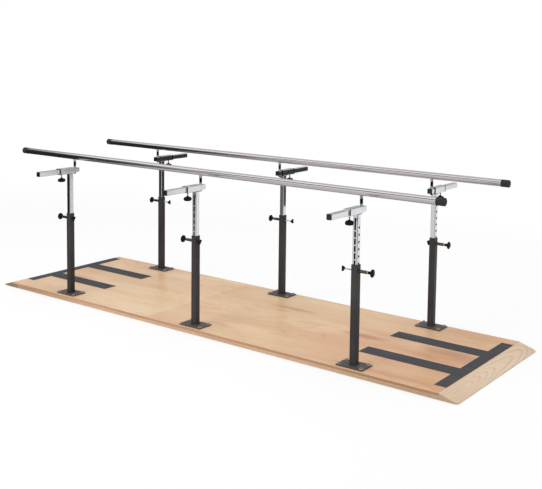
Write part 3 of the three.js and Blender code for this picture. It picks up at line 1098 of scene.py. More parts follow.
    def sided(self) -> Workpiece:
        """Marks the upright faces of a board, where its end grain shows and where the ramp's finish paints
        shade.

        Returns:
            The workpiece.
        """
        side = self.mesh.faces.layers.float.new("side")
        for face in self.mesh.faces:
            face[side] = 1.0 if abs(face.normal.z) < 0.5 else 0.0
        return self

    def cut(self, tool: Workpiece) -> Workpiece:
        """Takes another workpiece's shape out of this one.

        Args:
            tool: the other workpiece.

        Returns:
            The workpiece.
        """
        body, cutter = self.shown("body"), tool.shown("tool")
        step = body.modifiers.new("cut", "BOOLEAN")
        step.operation = "DIFFERENCE"
        step.solver = "EXACT"
        step.object = cutter
        self.taken_from(body)
        bpy.data.objects.remove(cutter)
        return self

    def drilled(
        self, start: float, end: float, radius: float, y: float = 0.0, x: float = 0.0, steps: int = 32
    ) -> Workpiece:
        """Drills an upright hole between two heights, in the place of the given y and x."""
        return self.cut(Workpiece.bar(start, end, radius, steps).stood(y, x))

    def joined(self, other: Workpiece) -> Workpiece:
        """Adds another workpiece's mesh to this one.

        Args:
            other: the other workpiece.

        Returns:
            The workpiece.
        """
        passing = bpy.data.meshes.new("passing")
        other.mesh.to_mesh(passing)
        self.mesh.from_mesh(passing)
        bpy.data.meshes.remove(passing)
        return self

    def moved(self, by: Sequence[float]) -> Workpiece:
        """Moves the workpiece."""
        bmesh.ops.translate(self.mesh, vec=Vector(by), verts=self.mesh.verts[:])
        return self

    def rolled(self, angle: float, axis: str) -> Workpiece:
        """Turns the workpiece about an axis through the origin.

        Args:
            angle: how far it turns, in radians.
            axis: the letter of the axis.

        Returns:
            The workpiece.
        """
        turn = Matrix.Rotation(angle, 3, axis)
        bmesh.ops.rotate(self.mesh, cent=(0, 0, 0), matrix=turn, verts=self.mesh.verts[:])
        return self

    def stood(self, y: float = 0.0, x: float = 0.0) -> Workpiece:
        """Stands a workpiece drawn along +X upright."""
        return self.rolled(-QUARTER, "Y").moved((x, y, 0))

    def laid(self, height: float) -> Workpiece:
        """Lays a workpiece drawn along +Z down along +Y, at a height."""
        return self.rolled(-QUARTER, "X").moved((0, 0, height))


def rimmed(
    start: float, end: float, bore: float, radius: float, near: float = 0.0, far: float = 0.0
) -> Profile:
    """The ring profile of a bored bar whose rims may be chamfered.

    Args:
        start, end: the places of its ends along the axis.
        bore: the radius of the bore.
        radius: the outer radius.
        near, far: the chamfers of the rims at its start and its end.

    Returns:
        The profile.
    """
    first = [(start, radius - near), (start + near, radius)] if near else [(start, radius)]
    last = [(end - far, radius), (end, radius - far)] if far else [(end, radius)]
    return [(start, bore), *first, *last, (end, bore)]


def threaded(
    start: float, end: float, radius: float, depth: float, pitch: float
) -> Profile:
    """The profile of a screw whose thread is a row of close ridges.

    Args:
        start: the tip of the screw.
        end: the end that goes into the knob.
        radius: the radius over the thread.
        depth: the depth of the thread.
        pitch: the distance between two ridges.

    Returns:
        The profile.
    """
    root = radius - depth
    profile = [(start, 0.0), (start, root - depth)]
    for number in range(int((end - start) / pitch) - 1):
        along = start + pitch * (number + 0.5)
        profile += [(along, root), (along + pitch / 2, radius)]
    return profile + [(end - pitch / 4, root), (end, root), (end, 0.0)]


def helix(start: float, run: float, radius: float, turns: int, per_turn: int) -> list[Spot]:
    """The points of a coil round the X axis.

    Args:
        start: where along the axis it starts.
        run: its length along the axis.
        radius: its radius.
        turns: how many turns it has.
        per_turn: how many points a turn has.

    Returns:
        The points.
    """
    count = turns * per_turn
    points = []
    for step in range(count + 1):
        angle = FULL_TURN * step / per_turn
        points.append((start + run * step / count, radius * math.cos(angle), radius * math.sin(angle)))
    return points


def fitted(name: str, work: Workpiece, finish: Finish, body: str, node: str = "") -> None:
    """Makes a piece of a workpiece and hangs it on its body.

    Args:
        name: the piece's name.
        work: its mesh, in its place.
        finish: what it is finished in.
        body: the CAD body that it rides on.
        node: the CAD node that it replaces.
    """
    piece = work.shown(name)
    piece.data.shade_smooth()
    piece.data.set_sharp_from_angle(angle=SMOOTH_ANGLE)
    weigh = piece.modifiers.new("flat_faces", "WEIGHTED_NORMAL")
    weigh.keep_sharp = True
    weigh.weight = 100
    piece.data.materials.append(finish.paint())
    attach(piece, body)
    if node:
        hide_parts(node)
    log.info("%s: %d faces, %s, on %s", name, len(piece.data.polygons), finish.name, body)


@dataclass
class Platform:
    """The plywood deck with its two ramps and the grip tape."""

    finishes: Finishes
    arris: float = 0.0009
    ramp_arris: float = 0.0012
    tape_arris: float = 0.00025
    sharper: float = 20.0

    def build(self) -> None:
        """Makes the deck, the core, the ramps and the tape from their CAD nodes."""
        plan = (
            ("deck_panel", "top_sheet", self.finishes.sheet, self.arris),
            ("base_panel", "plywood_base", self.finishes.core, self.arris),
            ("ramp_left", "ramp_block_left", self.finishes.left_ramp, self.ramp_arris),
            ("ramp_right", "ramp_block_right", self.finishes.ramp, self.ramp_arris),
            ("grip_tape_left", "grip_strip_left", self.finishes.tape, self.tape_arris),
            ("grip_tape_right", "grip_strip_right", self.finishes.tape, self.tape_arris),
        )
        for node, name, finish, arris in plan:
            work = Workpiece.copied(node).eased(arris, sharper=self.sharper).sided()
            fitted(name, work, finish, PLATFORM, node)


@dataclass
class Station:
    """Where one post stands, and how its pieces lie."""

    side: Side
    place: Place

    def __post_init__(self) -> None:
        """Reads the post's place and heights from the CAD frame."""
        self.tag = f"{self.side.name.lower()}_{self.place.value}"
        low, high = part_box(f"post_{self.tag}")
        self.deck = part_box("deck_panel")[1].z
        self.foot = Vector(((low.x + high.x) / 2, (low.y + high.y) / 2, self.deck))
        self.post_top = high.z - self.deck
        pin_low, pin_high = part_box(f"lock_pin_{self.tag}")
        self.pin_height = (pin_low.z + pin_high.z) / 2 - self.deck
        self.pin_side = 1 if pin_low.x + pin_high.x > 2 * self.foot.x else -1

    def span(self, node: str) -> tuple[Vector, Vector]:
        """A CAD node's corners, seen from the post's foot with the outside towards -Y.

        Args:
            node: the start of the node's name.

        Returns:
            The lowest and the highest corner.
        """
        low, high = (corner - self.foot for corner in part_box(f"{node}_{self.tag}"))
        if self.side is Side.FAR:
            low, high = Vector((-high.x, -high.y, low.z)), Vector((-low.x, -low.y, high.z))
        return low, high

    def reach(self, node: str) -> tuple[float, float]:
        """How near the post's middle a CAD node starts along X, and how far out it ends."""
        low, high = self.span(node)
        return min(abs(low.x), abs(high.x)), max(abs(low.x), abs(high.x))

    def by_pin(self, work: Workpiece, opposite: bool = False, raised: float = 0.0) -> Workpiece:
        """Brings what was drawn along +X to the pin's side or opposite, level with the pin or raised."""
        turn = math.pi if (self.pin_side * self.side.value > 0) != opposite else 0.0
        return work.rolled(turn, "Z").moved((0, 0, self.pin_height + raised))


@dataclass
class SubAssembly:
    """Pieces of one station that ride on one body."""

    station: Station
    finishes: Finishes
    rides = ""

    def fit(self, name: str, work: Workpiece, finish: Finish, node: str = "") -> None:
        """Sets a workpiece down at the station and hangs it on the body.

        Args:
            name: the start of the piece's name.
            work: its mesh, in the post's own frame.
            finish: what it is finished in.
            node: the start of the name of the CAD node that it replaces.
        """
        if self.station.side is Side.FAR:
            work.rolled(math.pi, "Z")
        work.moved(self.station.foot)
        tag = self.station.tag
        body = f"{self.rides}_{tag}" if self.rides else PLATFORM
        fitted(f"{name}_{tag}", work, finish, body, f"{node}_{tag}" if node else "")


@dataclass
class Post(SubAssembly):
    """A welded square post with its base plate, lock pin barrel and clamp nut."""

    wall: float = 0.003
    corner: float = 0.0042
    arris: float = 0.0006
    plate_length: float = 0.155
    plate_width: float = 0.103
    plate_thickness: float = 0.006
    plate_corner: float = 0.005
    plate_arris: float = 0.0008
    bolt_spacing: tuple[float, float] = (0.130, 0.076)
    bolt_hole: float = 0.0045
    bolt_turn: float = 0.7
    washer_radius: float = 0.0105
    washer_thickness: float = 0.0016
    washer_arris: float = 0.0002
    head_radius: float = 0.0066
    head_height: float = 0.0052
    bead: float = 0.0028
    bead_pitch: float = 0.0045
    barrel_radius: float = 0.0085
    barrel_chamfer: float = 0.00085
    barrel_bead: float = 0.0014
    barrel_bead_out: float = 0.00056
    chamber: float = 0.0063
    lip: float = 0.006
    bore: float = 0.0043
    nut_radius: float = 0.0075
    nut_length: float = 0.003
    nut_bore: float = 0.0033
    nut_chamfer: float = 0.0009
    bush_radius: float = 0.0062
    bush_chamfer: float = 0.000744
    spring_turns: int = 9
    spring_wire: float = 0.00065

    def __post_init__(self) -> None:
        """Works out the top of the base plate."""
        self.plate_top = GAP + self.plate_thickness

    def build(self) -> None:
        """Makes every piece that belongs to the post."""
        self._tube()
        self._plate()
        self._barrel()
        self._spring()
        self._bolts()

    def _tube(self) -> None:
        """The upright tube, drilled for the lock pin and the clamp screw."""
        size = (POST_FACE, self.wall, self.corner)
        tube = Workpiece.square_tube(*size, self.plate_top, self.station.post_top)
        tube.eased(self.arris)
        for bore, opposite in ((self.bore, False), (self.nut_bore, True)):
            drill = Workpiece.bar(POST_FACE - 2 * self.wall, POST_FACE + self.wall, bore)
            tube.cut(self.station.by_pin(drill, opposite))
        self.fit("post_tube", tube.lined(*size, Axis.Z), self.finishes.post, "post")

    def _bolt_places(self) -> list[tuple[float, float]]:
        """Where the four bolts go through the plate."""
        half_x, half_y = self.bolt_spacing[0] / 2, self.bolt_spacing[1] / 2
        return [(x, y) for x in (-half_x, half_x) for y in (-half_y, half_y)]

    def _plate(self) -> None:
        """The base plate with its four bolt holes, and the rippled bead that holds the tube."""
        half_x, half_y = self.plate_length / 2, self.plate_width / 2
        plate = Workpiece.block((-half_x, -half_y, GAP), (half_x, half_y, self.plate_top))
        plate.rounded(Axis.Z, self.plate_thickness / 2, self.plate_corner, 4).eased(self.plate_arris)
        for x, y in self._bolt_places():
            plate.drilled(-self.plate_thickness, 2 * self.plate_top, self.bolt_hole, y, x, 24)
        self.fit("base_plate", plate, self.finishes.plate)
        out = self.bead * WELD_OUT
        bead = Workpiece.weld(
            POST_FACE + out, self.corner, self.plate_top + out, self.bead, self.bead_pitch
        )
        self.fit("foot_weld", bead, self.finishes.weld)

    def _barrel(self) -> None:
        """The barrel of the lock pin with its weld and brass bush, and the clamp nut opposite."""
        by_pin = self.station.by_pin
        end = POST_FACE + BARREL_LENGTH
        seat = POST_FACE + GAP
        profile = rimmed(POST_FACE, end, self.bore, self.barrel_radius, far=self.barrel_chamfer)
        profile += [(end - self.lip, self.bore), (end - self.lip, self.chamber)]
        profile += [(seat, self.chamber), (seat, self.bore)]
        barrel = by_pin(Workpiece.turned(profile, 40, ring=True))
        self.fit("pin_barrel", barrel, self.finishes.barrel)
        out = self.barrel_bead_out
        ring = helix(POST_FACE + out, 0.0, self.barrel_radius + out, 1, 48)[:-1]
        collar = Workpiece.swept(ring, self.barrel_bead, cyclic=True)
        self.fit("barrel_weld", by_pin(collar), self.finishes.weld)
        bush_end = end + BUSH_LENGTH
        bush = rimmed(end + GAP, bush_end, self.bore, self.bush_radius, far=self.bush_chamfer)
        brass = by_pin(Workpiece.turned(bush, 40, ring=True))
        self.fit("barrel_bush", brass, self.finishes.brass)
        nut_end = POST_FACE + self.nut_length
        profile = rimmed(POST_FACE, nut_end, self.nut_bore, self.nut_radius, far=self.nut_chamfer)
        nut = by_pin(Workpiece.turned(profile, 32, ring=True), opposite=True)
        self.fit("clamp_nut", nut, self.finishes.post)

    def _spring(self) -> None:
        """The coil spring round the lock pin, pressed short while the pin is pulled out."""
        low, high = self.station.span("lock_spring")
        start = self.station.reach("lock_spring")[0] + self.spring_wire
        run = high.x - low.x - 2 * self.spring_wire
        radius = (high.z - low.z) / 2 - self.spring_wire
        coil = Workpiece.swept(helix(start, run, radius, self.spring_turns, 16), self.spring_wire)
        self.fit("pin_coil", self.station.by_pin(coil), self.finishes.spring, "lock_spring")

    def _bolts(self) -> None:
        """The four base bolts and their washers."""
        top = self.plate_top + self.washer_thickness
        ring = rimmed(self.plate_top, top, self.bolt_hole, self.washer_radius)
        shank, flange = self.bolt_hole * 0.85, self.head_radius * 1.12
        rings = [
            (-self.plate_thickness / 2, shank, 0.0),
            (top, shank, 0.0),
            (top + 0.0001, flange, 0.0),
            (top + self.head_height * 0.22, flange, 0.0),
            (top + self.head_height * 0.24, self.head_radius, HEX_DIP),
            (top + self.head_height * 0.86, self.head_radius, HEX_DIP),
            (top + self.head_height, self.head_radius * 0.82, 0.04),
        ]
        washers, heads = Workpiece(), Workpiece()
        for number, (x, y) in enumerate(self._bolt_places()):
            washer = Workpiece.turned(ring, 28, ring=True).eased(self.washer_arris, 1)
            washers.joined(washer.stood(y, x))
            head = Workpiece.lobed(rings, 6, 36).rolled(number * self.bolt_turn, "Z")
            heads.joined(head.moved((x, y, 0)))
        self.fit("base_washers", washers, self.finishes.washer)
        self.fit("base_bolts", heads, self.finishes.bolt)


@dataclass
class LockPin(SubAssembly):
    """The spring loaded pin with its black pull knob."""

    rides = "lock_pin"
    pin_radius: float = 0.004
    chamfer: float = 0.001
    shoulder_radius: float = 0.0059
    stroke: float = 0.007
    shoulder: float = 0.003
    socket_radius: float = 0.0066
    neck_radius: float = 0.0078
    neck_length: float = 0.012
    flare: float = 0.009
    knob_radius: float = 0.0205
    rim: float = 0.0045
    dome: float = 0.0045

    def build(self) -> None:
        """Makes the steel pin and the pull knob on it."""
        tip = self.station.reach("lock_pin")[0]
        shoulder = POST_FACE + self.stroke + GAP * 2
        shoulder_end = shoulder - GAP + self.shoulder
        neck = POST_FACE + BARREL_LENGTH + BUSH_LENGTH + GAP
        grip = neck + self.neck_length
        steel = [(tip, 0.0), (tip, self.pin_radius - self.chamfer), (tip + self.chamfer, self.pin_radius)]
        steel += [(shoulder, self.pin_radius), (shoulder, self.shoulder_radius)]
        steel += [(shoulder_end, self.shoulder_radius), (shoulder_end, self.pin_radius)]
        steel += [(grip, self.pin_radius), (grip, 0.0)]
        pin = Workpiece.turned(steel, 32)
        self.fit("pin_shaft", self.station.by_pin(pin), self.finishes.zinc)
        knob = Workpiece.turned(self._knob_profile(neck, grip), 56, ring=True)
        self.fit("pull_knob", self.station.by_pin(knob), self.finishes.knob, "lock_pin")

    def _knob_profile(self, neck: float, grip: float) -> Profile:
        """The outline of the knob: a socket, a slim neck, a trumpet flare and a domed face.

        Args:
            neck: where the knob's neck starts.
            grip: where the pin ends in the knob, and the flare starts.

        Returns:
            The profile.
        """
        rim_end = grip + self.flare + self.rim
        profile = [(grip + GAP, 0.0), (grip + GAP, self.pin_radius)]
        profile += [(neck + self.stroke, self.pin_radius), (neck + self.stroke, self.socket_radius)]
        profile += [(neck, self.socket_radius), (neck, self.neck_radius - GAP)]
        profile.append((neck + GAP, self.neck_radius))
        spread = (self.knob_radius - self.neck_radius) * 0.94
        for share in (step / 8 for step in range(9)):
            along = grip + self.flare * (share - 0.3 * (1 - share))
            profile.append((along, self.neck_radius + spread * share**2.1))
        for angle in (math.pi * step / 6 for step in range(7)):
            along = rim_end - self.rim / 2 * (1 + math.cos(angle))
            profile.append((along, self.knob_radius - self.rim * 0.28 * (1 - math.sin(angle))))
        for share in (0.86, 0.66, 0.42, 0.2, 0.0):
            profile.append((rim_end + self.dome * (1 - share**2), self.knob_radius * share))
        return profile


@dataclass
class HeightClamp(SubAssembly):
    """The clamp screw opposite the lock pin, with its small three lobed knob."""

    rides = "height_clamp"
    screw_radius: float = 0.003
    thread_depth: float = 0.0004
    thread_pitch: float = 0.00125
    hub_radius: float = 0.0065
    hub_length: float = 0.004
    head_radius: float = 0.0156
    head_thickness: float = 0.0085
    rounding: float = 0.0018
    dip: float = 0.4
    lobes: int = 3
    loose_reach: float = 0.05
    loose_turn: float = -QUARTER

    def build(self) -> None:
        """Makes the screw and the knob."""
        tip, end = self.station.reach("height_clamp")
        hub = end - self.head_thickness - self.hub_length
        middle = hub + self.hub_length / 2
        profile = threaded(tip, middle, self.screw_radius, self.thread_depth, self.thread_pitch)
        screw = self.station.by_pin(Workpiece.turned(profile, 20), opposite=True)
        self.fit("clamp_screw", screw, self.finishes.zinc)
        knob = Workpiece.lobed(self._rings(), self.lobes, 60)
        knob.rolled(self.loose_turn if end > self.loose_reach else 0.0, "Z")
        knob.rolled(QUARTER, "Y").moved((hub, 0, 0))
        knob.cut(Workpiece.bar(hub - self.hub_length, middle + self.thread_pitch, self.screw_radius))
        knob = self.station.by_pin(knob, opposite=True)
        self.fit("clamp_knob", knob, self.finishes.knob, "height_clamp")

    def _rings(self) -> Rings:
        """The knob's outline, from the hub up to the head.

        Returns:
            The rings.
        """
        head, hub, radius, slope = self.hub_length, self.hub_radius, self.head_radius, self.rounding
        top = head + self.head_thickness
        return [
            (0.0, hub * 0.88, 0.0),
            (slope * 0.4, hub, 0.0),
            (head - slope, hub, 0.0),
            (head, hub * 1.1, 0.06),
            (head + slope * 0.2, radius - slope, self.dip * 1.12),
            (head + slope * 0.7, radius - slope * 0.3, self.dip),
            (head + slope * 1.5, radius, self.dip),
            (top - slope * 1.2, radius, self.dip),
            (top - slope * 0.4, radius - slope * 0.4, self.dip),
            (top, radius - slope * 1.4, self.dip * 1.05),
        ]


@dataclass
class Mast(SubAssembly):
    """The bright telescoping tube with its holes, height scale and width sleeve."""

    rides = "mast"
    arris: float = 0.0004
    hole_pitch: float = 0.036
    hole_radius: float = 0.0044
    sink: float = 0.0023
    holes_above: int = 6
    holes_below: int = 5
    sleeve_wall: float = 0.0035
    sleeve_corner: float = 0.0048
    sleeve_arris: float = 0.0006
    screw_hole: float = 0.0043
    bead: float = 0.0022
    bead_pitch: float = 0.004
    scale_start: float = 0.019
    first_mark: float = 0.0605
    mark_width: float = 0.0100
    mark_gap: float = 0.0058
    mark_thickness: float = 0.00012
    bush_inset: float = 0.0004
    bush_arris: float = 0.0005
    bush_outer_length: float = 0.008
    bush_inner_length: float = 0.0014
    plate_thickness: float = 0.0008

    def __post_init__(self) -> None:
        """Reads the mast's and the sleeve's sizes from the CAD frame."""
        low, high = self.station.span("mast")
        self.sleeve_half = (high.x - low.x) / 2
        self.sleeve_out, self.sleeve_in = low.y, high.y
        self.sleeve_centre = high.z - self.sleeve_half
        self.sleeve_bottom = high.z - 2 * self.sleeve_half
        self.bottom = low.z
        arm_low, arm_high = self.station.span("arm")
        self.half = (arm_high.x - arm_low.x) / 2

    def build(self) -> None:
        """Makes every piece that rides up and down with the mast."""
        self._tube()
        self._sleeve()
        self._scale()
        self._bushes()

    def _tube(self) -> None:
        """The tube, drilled and countersunk with its row of holes on the lock pin's side."""
        size = (self.half, TUBE_WALL, TUBE_CORNER)
        tube = Workpiece.square_tube(*size, self.bottom, self.sleeve_bottom).eased(self.arris)
        start, mouth = self.half - 2 * TUBE_WALL, self.half + self.sink
        bit = [(start, 0.0), (start, self.hole_radius), (self.half - self.sink, self.hole_radius)]
        bit += [(mouth, self.hole_radius + 2 * self.sink), (mouth, 0.0)]
        drill = Workpiece()
        for number in range(-self.holes_below, self.holes_above + 1):
            raised = number * self.hole_pitch
            drill.joined(self.station.by_pin(Workpiece.turned(bit, 32), raised=raised))
        self.fit("mast_tube", tube.cut(drill).lined(*size, Axis.Z), self.finishes.mast, "mast")

    def _sleeve(self) -> None:
        """The sleeve that the arm slides in, drilled for the star knob, and its weld."""
        size = (self.sleeve_half, self.sleeve_wall, self.sleeve_corner)
        sleeve = Workpiece.square_tube(*size, self.sleeve_out, self.sleeve_in)
        sleeve.eased(self.sleeve_arris).laid(self.sleeve_centre)
        start, end = self.sleeve_bottom - self.sleeve_wall, self.sleeve_bottom + 2 * self.sleeve_wall
        sleeve.drilled(start, end, self.screw_hole, -STAR_PLACE)
        self.fit("width_sleeve", sleeve.lined(*size, Axis.Y, self.sleeve_centre), self.finishes.arm)
        out = self.bead * WELD_OUT
        place = (self.half + out, TUBE_CORNER, self.sleeve_bottom - out)
        bead = Workpiece.weld(*place, self.bead, self.bead_pitch)
        self.fit("sleeve_weld", bead, self.finishes.bead)

    def _scale(self) -> None:
        """The black height marks down the outer face of the mast."""
        marks = Workpiece()
        reach = self.mark_width / 2
        high = self.sleeve_bottom - self.scale_start
        length = self.first_mark
        for _ in range(self.holes_above + self.holes_below):
            corner = (-reach, -self.half - self.mark_thickness, high - length)
            mark = Workpiece.block(corner, (reach, -self.half, high))
            marks.joined(mark.eased(self.mark_thickness / 3, 1))
            high -= length + self.mark_gap
            length = self.hole_pitch - self.mark_gap
        self.fit("height_scale", marks, self.finishes.scale)

    def _bushes(self) -> None:
        """The black bushes that guide the arm at both ends of the sleeve, and the bright plate."""
        outer = self.sleeve_half - self.bush_inset
        size = (outer, outer - self.half - GAP, self.sleeve_corner)
        mouth = self.sleeve_out - self.bush_outer_length
        spans = (
            (mouth, self.sleeve_out - GAP),
            (self.sleeve_in + GAP, self.sleeve_in + self.bush_inner_length),
        )
        pair = Workpiece()
        for start, end in spans:
            bush = Workpiece.square_tube(*size, start, end).eased(self.bush_arris)
            pair.joined(bush.laid(self.sleeve_centre))
        self.fit("sleeve_bushes", pair, self.finishes.rubber)
        plate = Workpiece.square_tube(*size, mouth - GAP - self.plate_thickness, mouth - GAP)
        self.fit("bush_plate", plate.laid(self.sleeve_centre), self.finishes.arm)


@dataclass
class WidthKnob(SubAssembly):
    """The star knob whose screw clamps the arm in its sleeve."""

    rides = "width_knob"
    screw_radius: float = 0.004
    thread_depth: float = 0.0005
    thread_pitch: float = 0.0015
    hub_radius: float = 0.0078
    hub_length: float = 0.005
    head_radius: float = 0.024
    head_thickness: float = 0.021
    head_hollow: float = 0.0012
    dip: float = 0.16
    lobes: int = 6

    def build(self) -> None:
        """Makes the screw and the star knob."""
        low, high = self.station.span("width_knob")
        head = low.z + self.head_thickness
        profile = threaded(-high.z, -head, self.screw_radius, self.thread_depth, self.thread_pitch)
        screw = Workpiece.turned(profile, 20).rolled(QUARTER, "Y").moved((0, -STAR_PLACE, 0))
        self.fit("width_screw", screw, self.finishes.zinc)
        knob = Workpiece.lobed(self._rings(), self.lobes, 72).moved((0, 0, low.z))
        knob.drilled(head - self.thread_pitch, head + 2 * self.hub_length, self.screw_radius)
        knob.moved((0, -STAR_PLACE, 0))
        self.fit("star_knob", knob, self.finishes.knob, "width_knob")

    def _rings(self) -> Rings:
        """The knob's outline, from its underside up to the hub.

        Returns:
            The rings.
        """
        top = self.head_thickness
        rise = [(0.0, 0.64, 0.4), (0.04, 0.76, 0.8), (0.14, 0.88, 1.0), (0.3, 0.97, 1.0)]
        belly = rise + [(0.5, 1.0, 1.0)] + [(1 - up, out, dip) for up, out, dip in reversed(rise)]
        return [
            (self.head_hollow, self.head_radius * 0.5, 0.0),
            *((top * up, self.head_radius * out, self.dip * dip) for up, out, dip in belly),
            (top, self.hub_radius * 1.15, 0.0),
            (top + self.hub_length * 0.3, self.hub_radius, 0.0),
            (top + self.hub_length, self.hub_radius * 0.94, 0.0),
        ]


@dataclass
class Arm(SubAssembly):
    """The bright arm with its end plugs and the stud that carries the handrail."""

    rides = "arm"
    plug: float = 0.003
    plug_corner: float = 0.0036
    plug_arris: float = 0.0008
    overhang: float = 0.039
    shank: float = 0.0045
    dome_radius: float = 0.0075
    dome_length: float = 0.011
    lower_radius: float = 0.009
    lower_length: float = 0.0125
    spacer_radius: float = 0.0078
    spacer_length: float = 0.025
    upper_radius: float = 0.0084
    rail_radius: float = 0.01905

    def __post_init__(self) -> None:
        """Reads the arm's and the stud's places from the CAD frame."""
        low, high = self.station.span("arm")
        self.out, self.inward = low.y, high.y
        self.bottom, self.top = low.z, high.z
        self.centre = (low.z + high.z) / 2
        self.half = (high.x - low.x) / 2
        rail_low, rail_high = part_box(f"handrail_{self.station.side.name.lower()}")
        self.rail_height = (rail_low.z + rail_high.z) / 2 - self.station.deck
        self.bore = self.shank + GAP

    def build(self) -> None:
        """Makes the tube, the plugs and the pieces of the rail stud."""
        self._tube()
        self._plugs()
        self._stud()
        self._nuts()

    def _tube(self) -> None:
        """The arm's square tube, drilled for the stud."""
        size = (self.half, TUBE_WALL, TUBE_CORNER)
        tube = Workpiece.square_tube(*size, self.out + self.plug, self.inward - self.plug)
        tube.laid(self.centre)
        tube.drilled(self.bottom - TUBE_WALL, self.top + TUBE_WALL, self.bore, self.overhang)
        self.fit("arm_tube", tube.lined(*size, Axis.Y, self.centre), self.finishes.arm, "arm")

    def _plugs(self) -> None:
        """The black plugs in both ends of the arm."""
        pair = Workpiece()
        for face, inward in ((self.out, 1), (self.inward, -1)):
            low, high = sorted((face, face + inward * (self.plug - GAP / 3)))
            plug = Workpiece.block((-self.half, low, -self.half), (self.half, high, self.half))
            plug.rounded(Axis.Y, self.plug / 2, self.plug_corner, 4).eased(self.plug_arris, 3)
            pair.joined(plug.moved((0, 0, self.centre)))
        self.fit("arm_plugs", pair, self.finishes.nylon)

    def _upright(self, profile: Points, ring: bool = False) -> Workpiece:
        """Turns a profile of heights and radii on the stud's axis."""
        return Workpiece.turned(profile, 36, ring).stood(self.overhang)

    def _stud(self) -> None:
        """The stud's shank with the dome nut under the arm."""
        top = self.rail_height - self.rail_radius - GAP
        seat = self.bottom - GAP
        dome = [(seat - self.dome_length, 0.0)]
        for angle in (QUARTER * step / 6 for step in range(1, 7)):
            height = seat - self.dome_length * (0.45 + 0.55 * math.cos(angle))
            dome.append((height, self.dome_radius * math.sin(angle) * 0.9))
        dome += [(seat - self.dome_length * 0.4, self.dome_radius), (seat, self.dome_radius)]
        dome += [(seat, self.shank), (top, self.shank), (top, 0.0)]
        self.fit("stud_bolt", self._upright(dome), self.finishes.acorn, "rail_stud")

    def _nuts(self) -> None:
        """The lower nut, the black spacer and the bright upper nut that cradles the rail."""
        bottom = self.top + GAP
        top = bottom + self.lower_length
        flange, waist = self.lower_length * 0.16, self.lower_radius * 0.9
        rings = [
            (bottom, self.lower_radius, 0.0),
            (bottom + flange, self.lower_radius, 0.0),
            (bottom + flange * 1.4, waist, HEX_DIP),
            (top - flange * 0.5, waist, HEX_DIP),
            (top, self.lower_radius * 0.76, 0.03),
        ]
        nut = Workpiece.lobed(rings, 6, 48).drilled(bottom - flange, top + flange, self.bore)
        self.fit("stud_lower_nut", nut.moved((0, self.overhang, 0)), self.finishes.zinc)
        ease = GAP * 2
        spacer_top = top + self.spacer_length
        spacer = rimmed(top, spacer_top, self.bore, self.spacer_radius, ease, ease)
        self.fit("stud_spacer", self._upright(spacer, ring=True), self.finishes.rubber)
        profile = rimmed(spacer_top, self.rail_height, self.bore, self.upper_radius, near=ease)
        collar = self._upright(profile, ring=True)
        reach = self.upper_radius * 2
        saddle = Workpiece.bar(-reach, reach, self.rail_radius + GAP, 96)
        collar.cut(saddle.moved((0, self.overhang, self.rail_height)))
        self.fit("stud_collar", collar, self.finishes.bright_nut)


@dataclass
class Handrail:
    """One polished handrail with a rubber cap on each end."""

    side: Side
    finishes: Finishes
    wall: float = 0.0018
    arris: float = 0.0003
    cap_wall: float = 0.0009
    cap_depth: float = 0.039
    cap_end: float = 0.003
    rounding: float = 0.0022
    lip: float = 0.0035
    lip_rise: float = 0.00025
    dish: float = 0.0006
    ribs: int = 16
    rib_depth: float = 0.00045

    def build(self) -> None:
        """Makes the tube and its two caps."""
        name = self.side.name.lower()
        low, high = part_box(f"handrail_{name}")
        middle = (low + high) / 2
        half, radius = (high.x - low.x) / 2, (high.z - low.z) / 2
        body = f"arm_{name}_middle"
        tube = Workpiece.turned(rimmed(-half, half, radius - self.wall, radius), 96, ring=True)
        tube.eased(self.arris, 1).moved(middle)
        fitted(f"handrail_tube_{name}", tube, self.finishes.rail, body, f"handrail_{name}")
        start = half - self.cap_depth + self.lip + self.lip_rise
        for end in ("left", "right"):
            cap = Workpiece.turned(self._cap_profile(half, radius), 96)
            cap.fluted(start, radius + GAP * 2, self.ribs, self.rib_depth)
            if end == "left":
                cap.rolled(math.pi, "Z")
            node = f"rail_cap_{name}_{end}"
            fitted(f"end_cap_{name}_{end}", cap.moved(middle), self.finishes.cap, body, node)

    def _cap_profile(self, half: float, radius: float) -> Profile:
        """The cap's outline, from its floor out to the mouth and back over the end.

        Args:
            half: half the rail's length.
            radius: the rail's radius.

        Returns:
            The profile.
        """
        bore = radius + GAP
        outer = bore + self.cap_wall
        skirt = outer - self.lip_rise
        mouth = half - self.cap_depth
        floor = half + GAP
        end = floor + self.cap_end
        profile = [(floor, 0.0), (floor, bore), (mouth, bore), (mouth, skirt)]
        profile += [(mouth + self.lip_rise, outer), (mouth + self.lip, outer)]
        profile.append((mouth + self.lip + self.lip_rise, skirt))
        for angle in (QUARTER * step / 6 for step in range(7)):
            along = end - self.rounding * (1 - math.sin(angle))
            profile.append((along, skirt - self.rounding * (1 - math.cos(angle))))
        floor_of_dish = end - self.dish
        profile += [(end, outer * 0.62), (floor_of_dish, outer * 0.58)]
        return profile + [(floor_of_dish, 0.0)]


